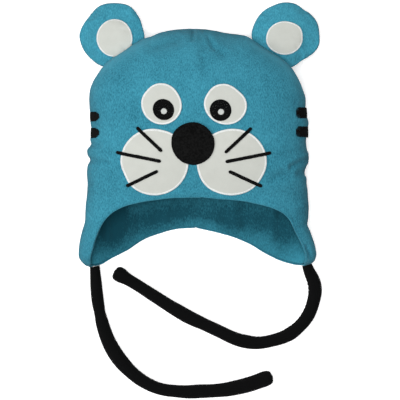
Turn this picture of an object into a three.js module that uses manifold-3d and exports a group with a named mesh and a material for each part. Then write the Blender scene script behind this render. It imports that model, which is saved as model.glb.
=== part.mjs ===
// A small child's fleece hat with ear flaps, round ears, an appliqued animal face and two ties.
// It lies on its back with the face up. Millimetres: +X is the wearer's left, +Y runs to the
// crown, +Z is up, and Z = 0 is the surface that it lies on.
import * as THREE from "three";
import { mergeVertices } from "three/addons/utils/BufferGeometryUtils.js";
import Module from "manifold-3d";

const wasm = await Module();
wasm.setup();

// Fabric
const SHELL_THICK = 2;
const LINING_THICK = 1.8;
const FELT_THICK = 1;
const THREAD_THICK = 0.8;
const GAP = 0.3; // clearance between pieces that are sewn together
const ON_SHELL = 0.35; // underside of a patch above the shell
const ON_FELT = 1.7; // underside of a piece that lies over a felt patch
const LINING_INSET = 1.5; // the shell's rolled rim stands past the lining

// Crown: half an ellipse seen from above, widest at the brow line
const CROWN = { x: -2.8, brow: 34, half: 108.3, rise: 71.8, arc: 95, seamTop: 31, seam: 34, front: 45 };
const ROLL = -4.3; // the hat lies rolled a little, so its front's centre line is left of its middle
const BACK_ROLL = 2.7; // the back's centre line lies this much nearer the middle
const FRONT_POWER = 2.6; // roundness of the front's section, where 2 is an ellipse
const BACK_POWER = 3.4;
const BACK_PRESS = 7; // how far the back would sag below the surface that flattens it
const PRESS_BLEND = 3;
const EAR_DENT = { depth: 0.042, angle: 44.5, spread: 14 }; // the crown is drawn in at each ear

// Sections from the brow to the flap tips: half widths, height of the side seam, rise of the front
const SECTIONS = [
  { y: 34, left: 108.3, right: 108.3, seam: 34, front: 45 },
  { y: 4, left: 107.4, right: 109.6, seam: 34.5, front: 45.5 },
  { y: -26, left: 108.8, right: 109.4, seam: 33.5, front: 43.5 },
  { y: -50, left: 110, right: 109, seam: 31.5, front: 39.5 },
  { y: -64, left: 110.8, right: 110, seam: 29.5, front: 36.5 },
  { y: -80, left: 112.2, right: 110.2, seam: 26.5, front: 35 },
  { y: -96, left: 115.6, right: 112.8, seam: 22, front: 33.5 },
  { y: -110, left: 118.6, right: 117.6, seam: 17, front: 31 },
  { y: -120, left: 119.6, right: 119.6, seam: 12.5, front: 28 },
  { y: -133, left: 119.6, right: 119.6, seam: 7, front: 21 },
];
const FLAP_END = { left: -133.9, right: -132.4, height: 13.5, inward: 16 }; // rounded ends of the flaps

// Lines from the crown's top to the rim, for each half of the front: 0 is the middle, 90 the seam
const FRONT_LEFT = [
  { crown: 0, rim: 0, y: -64 },
  { crown: 9, rim: 12, y: -64.5 },
  { crown: 18, rim: 23, y: -66.2 },
  { crown: 27, rim: 33, y: -70 },
  { crown: 35, rim: 40.2, y: -74.8 },
  { crown: 42, rim: 45.2, y: -80.3 },
  { crown: 49, rim: 48.8, y: -89 },
  { crown: 56, rim: 52.1, y: -102 },
  { crown: 63, rim: 54.6, y: -114.5 },
  { crown: 70, rim: 57.4, y: -124.5 },
  { crown: 77, rim: 63.4, y: -130.4 },
  { crown: 84, rim: 75.4, y: -132.8 },
  { crown: 90, rim: 90, y: -133.7 },
];
const FRONT_RIGHT = [
  { crown: 0, rim: 0, y: -64 },
  { crown: 9, rim: 12, y: -64.5 },
  { crown: 18, rim: 23, y: -66.2 },
  { crown: 27, rim: 33, y: -70 },
  { crown: 35, rim: 41, y: -74.3 },
  { crown: 42, rim: 47.3, y: -80 },
  { crown: 49, rim: 52.1, y: -89 },
  { crown: 56, rim: 54.8, y: -102 },
  { crown: 63, rim: 57, y: -114.5 },
  { crown: 70, rim: 59.5, y: -124 },
  { crown: 77, rim: 65, y: -129.6 },
  { crown: 84, rim: 76, y: -131.6 },
  { crown: 90, rim: 90, y: -132.2 },
];
const BACK_LEFT = [
  { crown: 0, rim: 0, y: -93.3 },
  { crown: 12, rim: 10, y: -94.6 },
  { crown: 24, rim: 18, y: -99.1 },
  { crown: 35, rim: 25, y: -105.2 },
  { crown: 46, rim: 31.5, y: -115.3 },
  { crown: 57, rim: 38.5, y: -123.1 },
  { crown: 67, rim: 46.5, y: -129.7 },
  { crown: 76, rim: 57, y: -132.3 },
  { crown: 83, rim: 73, y: -133.5 },
  { crown: 90, rim: 90, y: -133.7 },
];
const BACK_RIGHT = [
  { crown: 0, rim: 0, y: -93.3 },
  { crown: 12, rim: 10, y: -97.8 },
  { crown: 24, rim: 18, y: -102.7 },
  { crown: 35, rim: 25, y: -109.6 },
  { crown: 46, rim: 31.5, y: -119.2 },
  { crown: 57, rim: 38.5, y: -126 },
  { crown: 67, rim: 46.5, y: -129.6 },
  { crown: 76, rim: 57, y: -131.5 },
  { crown: 83, rim: 73, y: -132.2 },
  { crown: 90, rim: 90, y: -132.2 },
];
const DOME_ROWS = 6;
const TUBE_ROWS = 10;

// Ears: centre, outline radius, centre and radii of the patch
const EARS = [
  { side: "left", x: -87.8, y: 98.7, r: 32.3, lobes: 3, turn: 60, patch: { x: -85.6, y: 95.4, rx: 18, ry: 18.3 } },
  { side: "right", x: 85.7, y: 98.7, r: 33, lobes: 4, turn: 5, patch: { x: 84, y: 95.9, rx: 18.2, ry: 16.9 } },
];
const EAR_WOBBLE = 1; // cut by hand, so the outline is a little angular
const EAR_EDGE = 1.5; // half thickness at the seam
const EAR_PAD = 3.2; // more half thickness in the middle
const EAR_DROOP = 0.17; // fall for each millimetre away from the crown
const EAR_BASE = 78; // distance of the base from the brow's middle, where the fall starts

// Face, as seen from above
const EYES = [
  { side: "left", x: -38, y: 28.7, rx: 20.1, ry: 20.4, lean: -0.03, pupil: { x: -36.1, y: 23, r: 10.4 } },
  { side: "right", x: 24.8, y: 28.4, rx: 21.2, ry: 20.2, lean: -0.06, pupil: { x: 19.9, y: 22.3, r: 10.7 } },
];
const GLINT_RADIUS = 3.2;
const GLINT_DROP = 1.7;
const MUZZLE = { x: 38, y: -28.3, r: 33.2 }; // a lobe on each side of the face's middle
const FACE_X = -7.1;
const NOSE = { x: -7.3, y: -10.2, r: 21.2 };
const WHISKERS = [
  { name: "top", outer: { x: 56.3, y: 4.2 }, inner: { x: 31.2, y: -17.9 } },
  { name: "middle", outer: { x: 75.9, y: -19 }, inner: { x: 32.2, y: -27.2 } },
  { name: "low", outer: { x: 66.4, y: -50.6 }, inner: { x: 34.8, y: -36.3 } },
];
const WHISKER_WIDTH = 3;
const STRIPES = [
  { name: "stripe_left_top", side: -1, y: 17.4, width: 9.5 },
  { name: "stripe_left_low", side: -1, y: 1.2, width: 9.8 },
  { name: "stripe_right_top", side: 1, y: 21.6, width: 10.6 },
  { name: "stripe_right_low", side: 1, y: 2.6, width: 10 },
];
const STRIPE_INNER = 58.5; // angle of the rounded inner end
const STRIPE_OUTER = 89; // the other end runs into the side seam

// Ties: middle of the stuffed tube along its way over the surface
const TIE_RADIUS = 6.1;
const TIE_SIDES = 10;
const TIES = [
  {
    name: "tie_left",
    steps: 14,
    route: [
      [-106.4, -134.3, 8], [-106.1, -138, 7.4], [-105.2, -148, 6.2], [-104, -161.7, 6.2],
      [-101.8, -176.5, 6.2], [-99.1, -188.8, 6.2], [-95.8, -200, 6.2], [-90.8, -211.9, 6.2],
      [-84, -223.1, 6.2], [-74.4, -234.6, 6.2], [-63.8, -244.3, 6.2], [-52.5, -251.4, 6.2],
      [-39.8, -256.4, 6.2], [-25.5, -258.5, 6.2], [-4, -259, 6.2], [24, -257, 6.2],
      [46, -252.5, 6.2], [60, -248, 6.2], [73, -243.4, 6.2],
    ],
  },
  {
    name: "tie_right",
    steps: 15,
    route: [
      [105, -133.3, 8], [106.2, -136.6, 7.4], [109.6, -140.5, 6.6], [113, -145.8, 6.2],
      [115.4, -152.5, 6.2], [115.7, -159, 6.2], [114.6, -165.5, 6.2], [110.8, -178, 6.2],
      [103, -190.1, 6.2], [89.9, -200.9, 6.2], [73.9, -207.1, 6.2], [58.2, -209.9, 6.2],
      [48, -208.8, 6.2], [36.6, -206.1, 6.2], [14.7, -196.2, 6.2], [-9.2, -185.2, 6.2],
      [-30, -173.2, 6.2], [-45.7, -163, 6.2], [-64, -151.4, 6.2], [-87, -137.6, 6.2],
    ],
  },
];

const fleece = new THREE.MeshStandardMaterial({ color: 0x45a0b8, roughness: 0.95, metalness: 0 });
const lining = new THREE.MeshStandardMaterial({ color: 0x3a8ca3, roughness: 0.95, metalness: 0 });
const whiteFelt = new THREE.MeshStandardMaterial({ color: 0xe9ebe4, roughness: 0.9, metalness: 0 });
const blackFelt = new THREE.MeshStandardMaterial({ color: 0x151516, roughness: 0.9, metalness: 0 });
const blackThread = new THREE.MeshStandardMaterial({ color: 0x121213, roughness: 0.5, metalness: 0 });
const tieCloth = new THREE.MeshStandardMaterial({ color: 0x18181a, roughness: 0.9, metalness: 0 });

const RAD = Math.PI / 180;
const lerp = THREE.MathUtils.lerp;

// Value of a column between two rows, with a smooth slope through each row
function readTable(rows, y, column) {
  const last = rows.length - 1;
  let i = rows.findIndex((row, k) => k < last && y >= rows[k + 1].y);
  if (i < 0) i = last - 1;
  const slope = (a, b) => (rows[b][column] - rows[a][column]) / (rows[b].y - rows[a].y);
  const before = slope(Math.max(i - 1, 0), Math.min(i + 1, last));
  const after = slope(i, Math.min(i + 2, last));
  const span = rows[i + 1].y - rows[i].y;
  const t = THREE.MathUtils.clamp((y - rows[i].y) / span, 0, 1);
  const t2 = t * t;
  const t3 = t2 * t;
  return (
    rows[i][column] * (2 * t3 - 3 * t2 + 1) +
    span * before * (t3 - 2 * t2 + t) +
    rows[i + 1][column] * (3 * t2 - 2 * t3) +
    span * after * (t3 - t2)
  );
}

// The hat's section at a distance below the brow line, or above it along the crown if negative
function section(drop) {
  if (drop < 0) {
    const rise = Math.PI / 2 + (drop / CROWN.arc) * (Math.PI / 2);
    const size = Math.sin(rise);
    return {
      y: CROWN.brow + CROWN.rise * Math.cos(rise),
      left: CROWN.half * size,
      right: CROWN.half * size,
      seam: lerp(CROWN.seamTop, CROWN.seam, size),
      front: CROWN.front * size,
      size,
      rise,
    };
  }
  const y = CROWN.brow - drop;
  const turnedIn = (end) => {
    const share = THREE.MathUtils.clamp((end + FLAP_END.height - y) / FLAP_END.height, 0, 1);
    return FLAP_END.inward * (1 - Math.sqrt(1 - share * share));
  };
  return {
    y,
    left: readTable(SECTIONS, y, "left") - turnedIn(FLAP_END.left),
    right: readTable(SECTIONS, y, "right") - turnedIn(FLAP_END.right),
    seam: readTable(SECTIONS, y, "seam"),
    front: readTable(SECTIONS, y, "front"),
    size: 1,
    rise: Math.PI / 2,
  };
}

// Sine and cosine of an angle on a rounded square
function roundSquare(angle, power) {
  const s = Math.abs(Math.sin(angle));
  const c = Math.abs(Math.cos(angle));
  const r = (s ** power + c ** power) ** (1 / power);
  return { s: (Math.sign(Math.sin(angle)) * s) / r, c: c / r };
}

// Zero well below the surface, unchanged well above it, and a smooth bend between
function press(z) {
  if (z > PRESS_BLEND) return z;
  return z < -PRESS_BLEND ? 0 : (z + PRESS_BLEND) ** 2 / (4 * PRESS_BLEND);
}

// A point of the outer surface: angle 0 is the middle of the front, 90 and -90 the side seams
function surface(angle, drop) {
  const at = section(drop);
  const isFront = Math.abs(angle) <= 90;
  const { s, c } = roundSquare(angle * RAD, isFront ? FRONT_POWER : BACK_POWER);
  const offAngle = (at.rise / RAD - EAR_DENT.angle) / EAR_DENT.spread;
  const dent = EAR_DENT.depth * Math.exp(-offAngle * offAngle) * s ** 6;
  const half = s < 0 ? at.left : at.right;
  const roll = isFront ? ROLL : ROLL + BACK_ROLL * c * at.size;
  const x = CROWN.x + half * s * (1 - dent) + roll * (1 - Math.abs(s) * at.size);
  const y = CROWN.brow + (at.y - CROWN.brow) * (1 - dent);
  const sag = (at.seam + BACK_PRESS) * at.size;
  const z = isFront ? at.seam + at.front * c : press(at.seam - sag * c);
  return new THREE.Vector3(x, y, z);
}

// A point at a distance inside the outer surface, or outside it if negative
function layer(angle, drop, depth) {
  if (drop <= -CROWN.arc) return surface(angle, -CROWN.arc).add(new THREE.Vector3(0, -depth, 0));
  const step = 0.05;
  const across = surface(angle + step, drop).sub(surface(angle - step, drop));
  const along = surface(angle, drop + step).sub(surface(angle, drop - step));
  const inward = across.cross(along).normalize();
  return surface(angle, drop).addScaledVector(inward, depth);
}

// Outer surface straight above or below a place on the front, and its outward normal
function onFront(x, y) {
  const over = Math.min((y - CROWN.brow) / CROWN.rise, 1);
  const drop = over > 0 ? (-CROWN.arc * Math.asin(over)) / (Math.PI / 2) : CROWN.brow - y;
  const at = section(drop);
  const off = x - CROWN.x - ROLL;
  const s = off < 0 ? off / (at.left + ROLL * at.size) : off / (at.right - ROLL * at.size);
  const c = (1 - Math.min(Math.abs(s), 1) ** FRONT_POWER) ** (1 / FRONT_POWER);
  return { angle: Math.atan2(s, c) / RAD, drop };
}

// A closed wall between two grids of points, whose first row may be a single point
function wall(outside, inside) {
  const rows = outside.length;
  const columns = outside[0].length;
  const triangles = [];
  const quad = (a, b, c, d) => triangles.push([a, b, c], [a, c, d]);
  for (let i = 0; i + 1 < rows; i++) {
    for (let j = 0; j + 1 < columns; j++) {
      quad(outside[i][j], outside[i + 1][j], outside[i + 1][j + 1], outside[i][j + 1]);
      quad(inside[i][j], inside[i][j + 1], inside[i + 1][j + 1], inside[i + 1][j]);
    }
    const end = columns - 1;
    quad(outside[i][0], inside[i][0], inside[i + 1][0], outside[i + 1][0]);
    quad(outside[i][end], outside[i + 1][end], inside[i + 1][end], inside[i][end]);
  }
  for (let j = 0; j + 1 < columns; j++) {
    const low = rows - 1;
    quad(outside[0][j], outside[0][j + 1], inside[0][j + 1], inside[0][j]);
    quad(outside[low][j], inside[low][j], inside[low][j + 1], outside[low][j + 1]);
  }
  return closedMesh(triangles);
}

// A closed sheet between an upper and a lower polar grid, whose first ring is its middle
function disc(upper, lower) {
  const triangles = [];
  const quad = (a, b, c, d) => triangles.push([a, b, c], [a, c, d]);
  const last = upper.length - 1;
  const count = upper[0].length;
  for (let j = 0; j < count; j++) {
    const k = (j + 1) % count;
    for (let i = 0; i < last; i++) {
      quad(upper[i][j], upper[i + 1][j], upper[i + 1][k], upper[i][k]);
      quad(lower[i][j], lower[i][k], lower[i + 1][k], lower[i + 1][j]);
    }
    quad(upper[last][j], lower[last][j], lower[last][k], upper[last][k]);
    quad(upper[0][j], upper[0][k], lower[0][k], lower[0][j]);
  }
  return closedMesh(triangles);
}

// A geometry of the triangles that have a size, with shared corners
function closedMesh(triangles) {
  const same = (a, b) => a.distanceToSquared(b) < 1e-8;
  const kept = triangles.filter(([a, b, c]) => !same(a, b) && !same(b, c) && !same(c, a));
  const positions = kept.flat().flatMap((p) => [p.x, p.y, p.z]);
  const geometry = new THREE.BufferGeometry();
  geometry.setAttribute("position", new THREE.Float32BufferAttribute(positions, 3));
  return mergeVertices(geometry, 1e-4);
}

function toSolid(geometry) {
  return new wasm.Manifold(
    new wasm.Mesh({
      numProp: 3,
      vertProperties: new Float32Array(geometry.attributes.position.array),
      triVerts: new Uint32Array(geometry.index.array),
    }),
  );
}

function toGeometry(solid) {
  const mesh = solid.getMesh();
  const geometry = new THREE.BufferGeometry();
  geometry.setAttribute("position", new THREE.BufferAttribute(mesh.vertProperties, 3));
  geometry.setIndex(new THREE.BufferAttribute(mesh.triVerts, 1));
  return geometry;
}

const hat = new THREE.Group();

function add(parent, name, geometry, material) {
  geometry.computeVertexNormals();
  const mesh = new THREE.Mesh(geometry, material);
  mesh.name = name;
  parent.add(mesh);
  return mesh;
}

// One panel of cloth, from the crown's top to the rim, between two depths below the outer surface
function panel(lines, depth, thick, inset) {
  const grid = (at) => {
    const rows = [];
    for (let i = 0; i <= DOME_ROWS; i++) {
      const drop = -CROWN.arc * (1 - i / DOME_ROWS);
      rows.push(lines.map((line) => layer(line.crown, drop, at)));
    }
    for (let i = 1; i <= TUBE_ROWS; i++) {
      const row = Math.sin((i / TUBE_ROWS) * (Math.PI / 2)); // closer together towards the rim
      const place = (line) => {
        const length = CROWN.brow - line.y;
        const t = Math.min(row, 1 - inset / length);
        return layer(lerp(line.crown, line.rim, t), t * length, at);
      };
      rows.push(lines.map(place));
    }
    return rows;
  };
  return wall(grid(depth), grid(depth + thick));
}

const onLeft = ({ crown, rim, y }) => ({ crown: -crown, rim: -rim, y });
const behind = ({ crown, rim, y }) => ({ crown: 180 - crown, rim: 180 - rim, y });
const frontLines = [...FRONT_LEFT.map(onLeft).reverse(), ...FRONT_RIGHT.slice(1)];
const backLeftLines = BACK_LEFT.map(behind).map(onLeft);
const backRightLines = BACK_RIGHT.map(behind).reverse();

// The front stands a seam's clearance above the back, and the back's halves the same apart
const front = new THREE.Group();
const backLeft = new THREE.Group();
const backRight = new THREE.Group();
front.position.z = GAP;
backLeft.position.x = -GAP / 2;
backRight.position.x = GAP / 2;
hat.add(front, backLeft, backRight);
const layers = [
  { name: "shell", depth: 0, thick: SHELL_THICK, inset: 0, cloth: fleece },
  { name: "lining", depth: SHELL_THICK + GAP, thick: LINING_THICK, inset: LINING_INSET, cloth: lining },
];
for (const { name, depth, thick, inset, cloth } of layers) {
  add(front, `${name}_front`, panel(frontLines, depth, thick, inset), cloth);
  add(backLeft, `${name}_back_left`, panel(backLeftLines, depth, thick, inset), cloth);
  add(backRight, `${name}_back_right`, panel(backRightLines, depth, thick, inset), cloth);
}

// The crown's filled form with a clearance round it, which trims what is sewn to the crown
function crownForm(clearance) {
  const around = 48;
  const rows = 12;
  const endDrop = 30;
  const triangles = [];
  const middle = new THREE.Vector3(CROWN.x, CROWN.brow - endDrop, CROWN.seam);
  const at = (i, j) => {
    const angle = ((j % around) / around) * 360 - 180;
    const drop = lerp(-CROWN.arc, endDrop, i / rows);
    const point = layer(angle, drop, -clearance);
    if (Math.abs(angle) <= 90) point.z += GAP;
    return point;
  };
  const top = surface(0, -CROWN.arc).add(new THREE.Vector3(0, clearance, 0));
  for (let j = 0; j < around; j++) {
    triangles.push([top, at(1, j), at(1, j + 1)]);
    for (let i = 1; i < rows; i++) {
      triangles.push([at(i, j), at(i + 1, j), at(i + 1, j + 1)]);
      triangles.push([at(i, j), at(i + 1, j + 1), at(i, j + 1)]);
    }
    triangles.push([at(rows, j), middle, at(rows, j + 1)]);
  }
  return toSolid(closedMesh(triangles));
}

// Height of an ear's middle layer, and its half thickness, at a place seen from above
function earLayer(ear, x, y) {
  const awayX = ear.x - CROWN.x;
  const awayY = ear.y - CROWN.brow;
  const reach = Math.hypot(awayX, awayY);
  const along = ((x - CROWN.x) * awayX + (y - CROWN.brow) * awayY) / reach;
  const seam = lerp(CROWN.seamTop, CROWN.seam, Math.SQRT1_2) + GAP / 2;
  const out = Math.min(Math.hypot(x - ear.x, y - ear.y) / ear.r, 1);
  return { middle: seam - EAR_DROOP * Math.max(along - EAR_BASE, 0), half: EAR_EDGE + EAR_PAD * (1 - out ** 3) };
}

function polarGrid(rings, sectors, place) {
  const rows = [];
  for (let i = 0; i <= rings; i++) {
    rows.push(Array.from({ length: sectors }, (_, j) => place(i / rings, (j / sectors) * 2 * Math.PI)));
  }
  return rows;
}

const earTrim = crownForm(GAP);
for (const ear of EARS) {
  const face = (side) =>
    polarGrid(4, 28, (out, turn) => {
      const r = out * (ear.r + EAR_WOBBLE * Math.cos(ear.lobes * (turn - ear.turn * RAD)));
      const x = ear.x + r * Math.cos(turn);
      const y = ear.y + r * Math.sin(turn);
      const { middle, half } = earLayer(ear, x, y);
      return new THREE.Vector3(x, y, middle + side * half);
    });
  add(hat, `ear_${ear.side}`, toGeometry(toSolid(disc(face(1), face(-1))).subtract(earTrim)), fleece);
  const patch = (rise) =>
    polarGrid(3, 24, (out, turn) => {
      const x = ear.patch.x + ear.patch.rx * out * Math.cos(turn);
      const y = ear.patch.y + ear.patch.ry * out * Math.sin(turn);
      const { middle, half } = earLayer(ear, x, y);
      return new THREE.Vector3(x, y, middle + half + rise);
    });
  const felt = toSolid(disc(patch(ON_SHELL + FELT_THICK), patch(ON_SHELL))).subtract(earTrim);
  add(hat, `ear_patch_${ear.side}`, toGeometry(felt), whiteFelt);
}

// A sheet that follows the front, from a function that gives its places seen from above
function frontSheet(rings, sectors, place, rise, thick) {
  const face = (height) =>
    polarGrid(rings, sectors, (out, turn) => {
      const { x, y } = place(out, turn);
      const { angle, drop } = onFront(x, y);
      return layer(angle, drop, -height);
    });
  return disc(face(rise + thick), face(rise));
}

const round = ({ x, y, r }) => (out, turn) => ({ x: x + r * out * Math.cos(turn), y: y + r * out * Math.sin(turn) });

for (const eye of EYES) {
  const egg = (out, turn) => {
    const up = eye.ry * out * Math.sin(turn);
    return { x: eye.x + eye.rx * out * Math.cos(turn) + eye.lean * up, y: eye.y + up };
  };
  add(front, `eye_white_${eye.side}`, frontSheet(3, 24, egg, ON_SHELL, FELT_THICK), whiteFelt);
  const { x, y, r } = eye.pupil;
  const glint = { x: x + 0.4, y: y - GLINT_DROP, r: GLINT_RADIUS };
  const disk = toSolid(frontSheet(2, 20, round({ x, y, r }), ON_FELT, THREAD_THICK));
  const hole = toSolid(frontSheet(1, 12, round({ ...glint, r: GLINT_RADIUS + GAP }), ON_SHELL, 2 * ON_FELT));
  add(front, `pupil_${eye.side}`, toGeometry(disk.subtract(hole)), blackThread);
  add(front, `eye_glint_${eye.side}`, frontSheet(1, 12, round(glint), ON_FELT, THREAD_THICK), whiteFelt);
}

// How high a piece lies: over a cheek patch, or beyond its edge down on the shell
function restHeight(x, y) {
  const beyond = Math.hypot(Math.abs(x - FACE_X) - MUZZLE.x, y - MUZZLE.y) - MUZZLE.r;
  return lerp(ON_FELT, ON_SHELL, THREE.MathUtils.smoothstep(beyond, 0.8, 3.2));
}

// A satin bar from one place to another, with round ends
function bar(from, to, width) {
  const length = Math.hypot(to.x - from.x, to.y - from.y);
  const ux = (to.x - from.x) / length;
  const uy = (to.y - from.y) / length;
  const stations = Math.ceil(length / 3);
  const grid = (rise) => {
    const rows = [];
    for (let i = 0; i <= stations; i++) {
      const along = (i / stations) * length;
      const toEnd = Math.min(along, length - along, width / 2);
      const half = Math.max(Math.sqrt((width / 2) ** 2 - (width / 2 - toEnd) ** 2), width / 5);
      const across = (side) => {
        const x = from.x + ux * along - side * uy * half;
        const y = from.y + uy * along + side * ux * half;
        const { angle, drop } = onFront(x, y);
        const low = restHeight(from.x + ux * along, from.y + uy * along);
        return layer(angle, drop, -(low + rise));
      };
      rows.push([across(-1), across(1)]);
    }
    return rows;
  };
  return wall(grid(THREAD_THICK), grid(0));
}

for (const [side, sign] of [["left", -1], ["right", 1]]) {
  const lobe = round({ x: FACE_X + sign * MUZZLE.x, y: MUZZLE.y, r: MUZZLE.r });
  add(front, `muzzle_${side}`, frontSheet(3, 28, lobe, ON_SHELL, FELT_THICK), whiteFelt);
  for (const { name, outer, inner } of WHISKERS) {
    const place = ({ x, y }) => ({ x: FACE_X + sign * x, y });
    add(front, `whisker_${side}_${name}`, bar(place(outer), place(inner), WHISKER_WIDTH), blackThread);
  }
}
add(front, "nose", frontSheet(3, 28, round(NOSE), ON_FELT, FELT_THICK), blackFelt);

for (const { name, side, y, width } of STRIPES) {
  const columns = 9;
  const grid = (rise) => {
    const rows = [];
    for (let j = 0; j <= columns; j++) {
      const angle = side * lerp(STRIPE_INNER, STRIPE_OUTER, j / columns);
      const half = (width / 2) * Math.sqrt(1 - (1 - Math.min((j + 0.6) / 2.6, 1)) ** 2);
      const edge = (across) => layer(angle, CROWN.brow - y - side * across * half, -rise);
      rows.push([edge(-1), edge(0), edge(1)]);
    }
    return rows;
  };
  add(front, name, wall(grid(ON_SHELL + THREAD_THICK), grid(ON_SHELL)), blackThread);
}

// The ties lie on the surface, so their section stays round and their middle at its radius
const tieSection = new THREE.Shape(
  Array.from({ length: TIE_SIDES }, (_, i) => {
    const turn = ((i + 0.5) / TIE_SIDES) * 2 * Math.PI;
    return new THREE.Vector2(TIE_RADIUS * Math.cos(turn), TIE_RADIUS * Math.sin(turn));
  }),
);
for (const { name, steps, route } of TIES) {
  const path = new THREE.CatmullRomCurve3(route.map(([x, y, z]) => new THREE.Vector3(x, y, z)));
  const tube = new THREE.ExtrudeGeometry(tieSection, { steps, extrudePath: path });
  add(hat, name, tube, tieCloth);
}

export default hat;
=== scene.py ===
"""The looks of a child's fleece hat with ear flaps, which lies on its back with its face up.

Lengths are in metres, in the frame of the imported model: +X is to the right of the face as seen,
+Y runs to the crown, and +Z is up from the surface that the hat lies on. The tables of dents,
creases, whiskers, ear bumps, tie routes and swells, and of the front rim's rise, are in millimetres.
"""

import logging
import math
from collections.abc import Callable, Sequence
from dataclasses import dataclass
from enum import Enum
from typing import NamedTuple

import bmesh
import bpy
import numpy as np
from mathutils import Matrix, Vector
from mathutils.bvhtree import BVHTree


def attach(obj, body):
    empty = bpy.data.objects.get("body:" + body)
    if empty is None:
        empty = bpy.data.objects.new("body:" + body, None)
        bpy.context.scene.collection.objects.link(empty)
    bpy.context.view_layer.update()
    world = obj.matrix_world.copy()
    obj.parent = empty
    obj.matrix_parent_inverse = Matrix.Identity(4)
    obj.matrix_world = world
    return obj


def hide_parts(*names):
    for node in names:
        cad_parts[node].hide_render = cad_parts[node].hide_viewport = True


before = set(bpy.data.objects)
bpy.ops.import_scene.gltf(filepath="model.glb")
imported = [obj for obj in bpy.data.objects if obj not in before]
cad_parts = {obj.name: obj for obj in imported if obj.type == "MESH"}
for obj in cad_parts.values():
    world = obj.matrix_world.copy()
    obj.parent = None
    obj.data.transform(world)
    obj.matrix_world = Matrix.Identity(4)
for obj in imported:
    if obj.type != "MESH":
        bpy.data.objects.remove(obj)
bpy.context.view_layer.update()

LOG = logging.getLogger("hat")
MM = 0.001
GAP = 0.3 * MM
SEAM_GAP = 0.05 * MM
FLOOR_CLEARANCE = 0.05 * MM
BODY = "root"
UP = np.array([0.0, 0.0, 1.0])

Colour = tuple[float, float, float, float]
Place = tuple[float, float]
Point = tuple[float, float, float]
Bumps = tuple[tuple[float, float, float], ...]
Heights = Callable[[np.ndarray, np.ndarray], np.ndarray]


class Slot(str, Enum):
    """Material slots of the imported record."""

    BLUE_FLEECE = "blue_fleece"
    LINING_FLEECE = "lining_fleece"
    WHITE_FELT = "white_felt"
    WHITE_THREAD = "white_thread"
    BLACK_FELT = "black_felt"
    BLACK_THREAD = "black_thread"
    TIE_CLOTH = "tie_cloth"


class Side(Enum):
    """The three panels that a layer of the hat is sewn from."""

    FRONT = "front"
    BACK_LEFT = "back_left"
    BACK_RIGHT = "back_right"


# Nodes and finishes


class Signal:
    """A number that comes out of a node and takes part in Python expressions."""

    def __init__(self, nodes: "Nodes", socket: bpy.types.NodeSocket) -> None:
        """Wrap a socket.

        Args:
            nodes: The tree that the socket belongs to.
            socket: An output of one of its nodes.
        """
        self.nodes = nodes
        self.socket = socket

    def _math(self, operation: str, *terms: object) -> "Signal":
        """The result of a Math node on some terms."""
        node = self.nodes.add("ShaderNodeMath", {"operation": operation}, dict(enumerate(terms)))
        return Signal(self.nodes, node.outputs[0])

    def __add__(self, other: object) -> "Signal":
        """self + other."""
        return self._math("ADD", self, other)

    def __radd__(self, other: object) -> "Signal":
        """other + self."""
        return self._math("ADD", other, self)

    def __sub__(self, other: object) -> "Signal":
        """self - other."""
        return self._math("SUBTRACT", self, other)

    def __rsub__(self, other: object) -> "Signal":
        """other - self."""
        return self._math("SUBTRACT", other, self)

    def __mul__(self, other: object) -> "Signal":
        """self * other."""
        return self._math("MULTIPLY", self, other)

    def __rmul__(self, other: object) -> "Signal":
        """other * self."""
        return self._math("MULTIPLY", other, self)

    def __pow__(self, other: object) -> "Signal":
        """self ** other."""
        return self._math("POWER", self, other)

    def sine(self) -> "Signal":
        """Sine of the value in radians."""
        return self._math("SINE", self)

    def within(self, low: float, high: float) -> "Signal":
        """Share of the way from low to high, held between 0 and 1.

        Args:
            low: Value that gives 0.
            high: Value that gives 1.

        Returns:
            The share.
        """
        values = {"Value": self, "From Min": low, "From Max": high}
        node = self.nodes.add("ShaderNodeMapRange", {"clamp": True}, values)
        return Signal(self.nodes, node.outputs[0])


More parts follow.
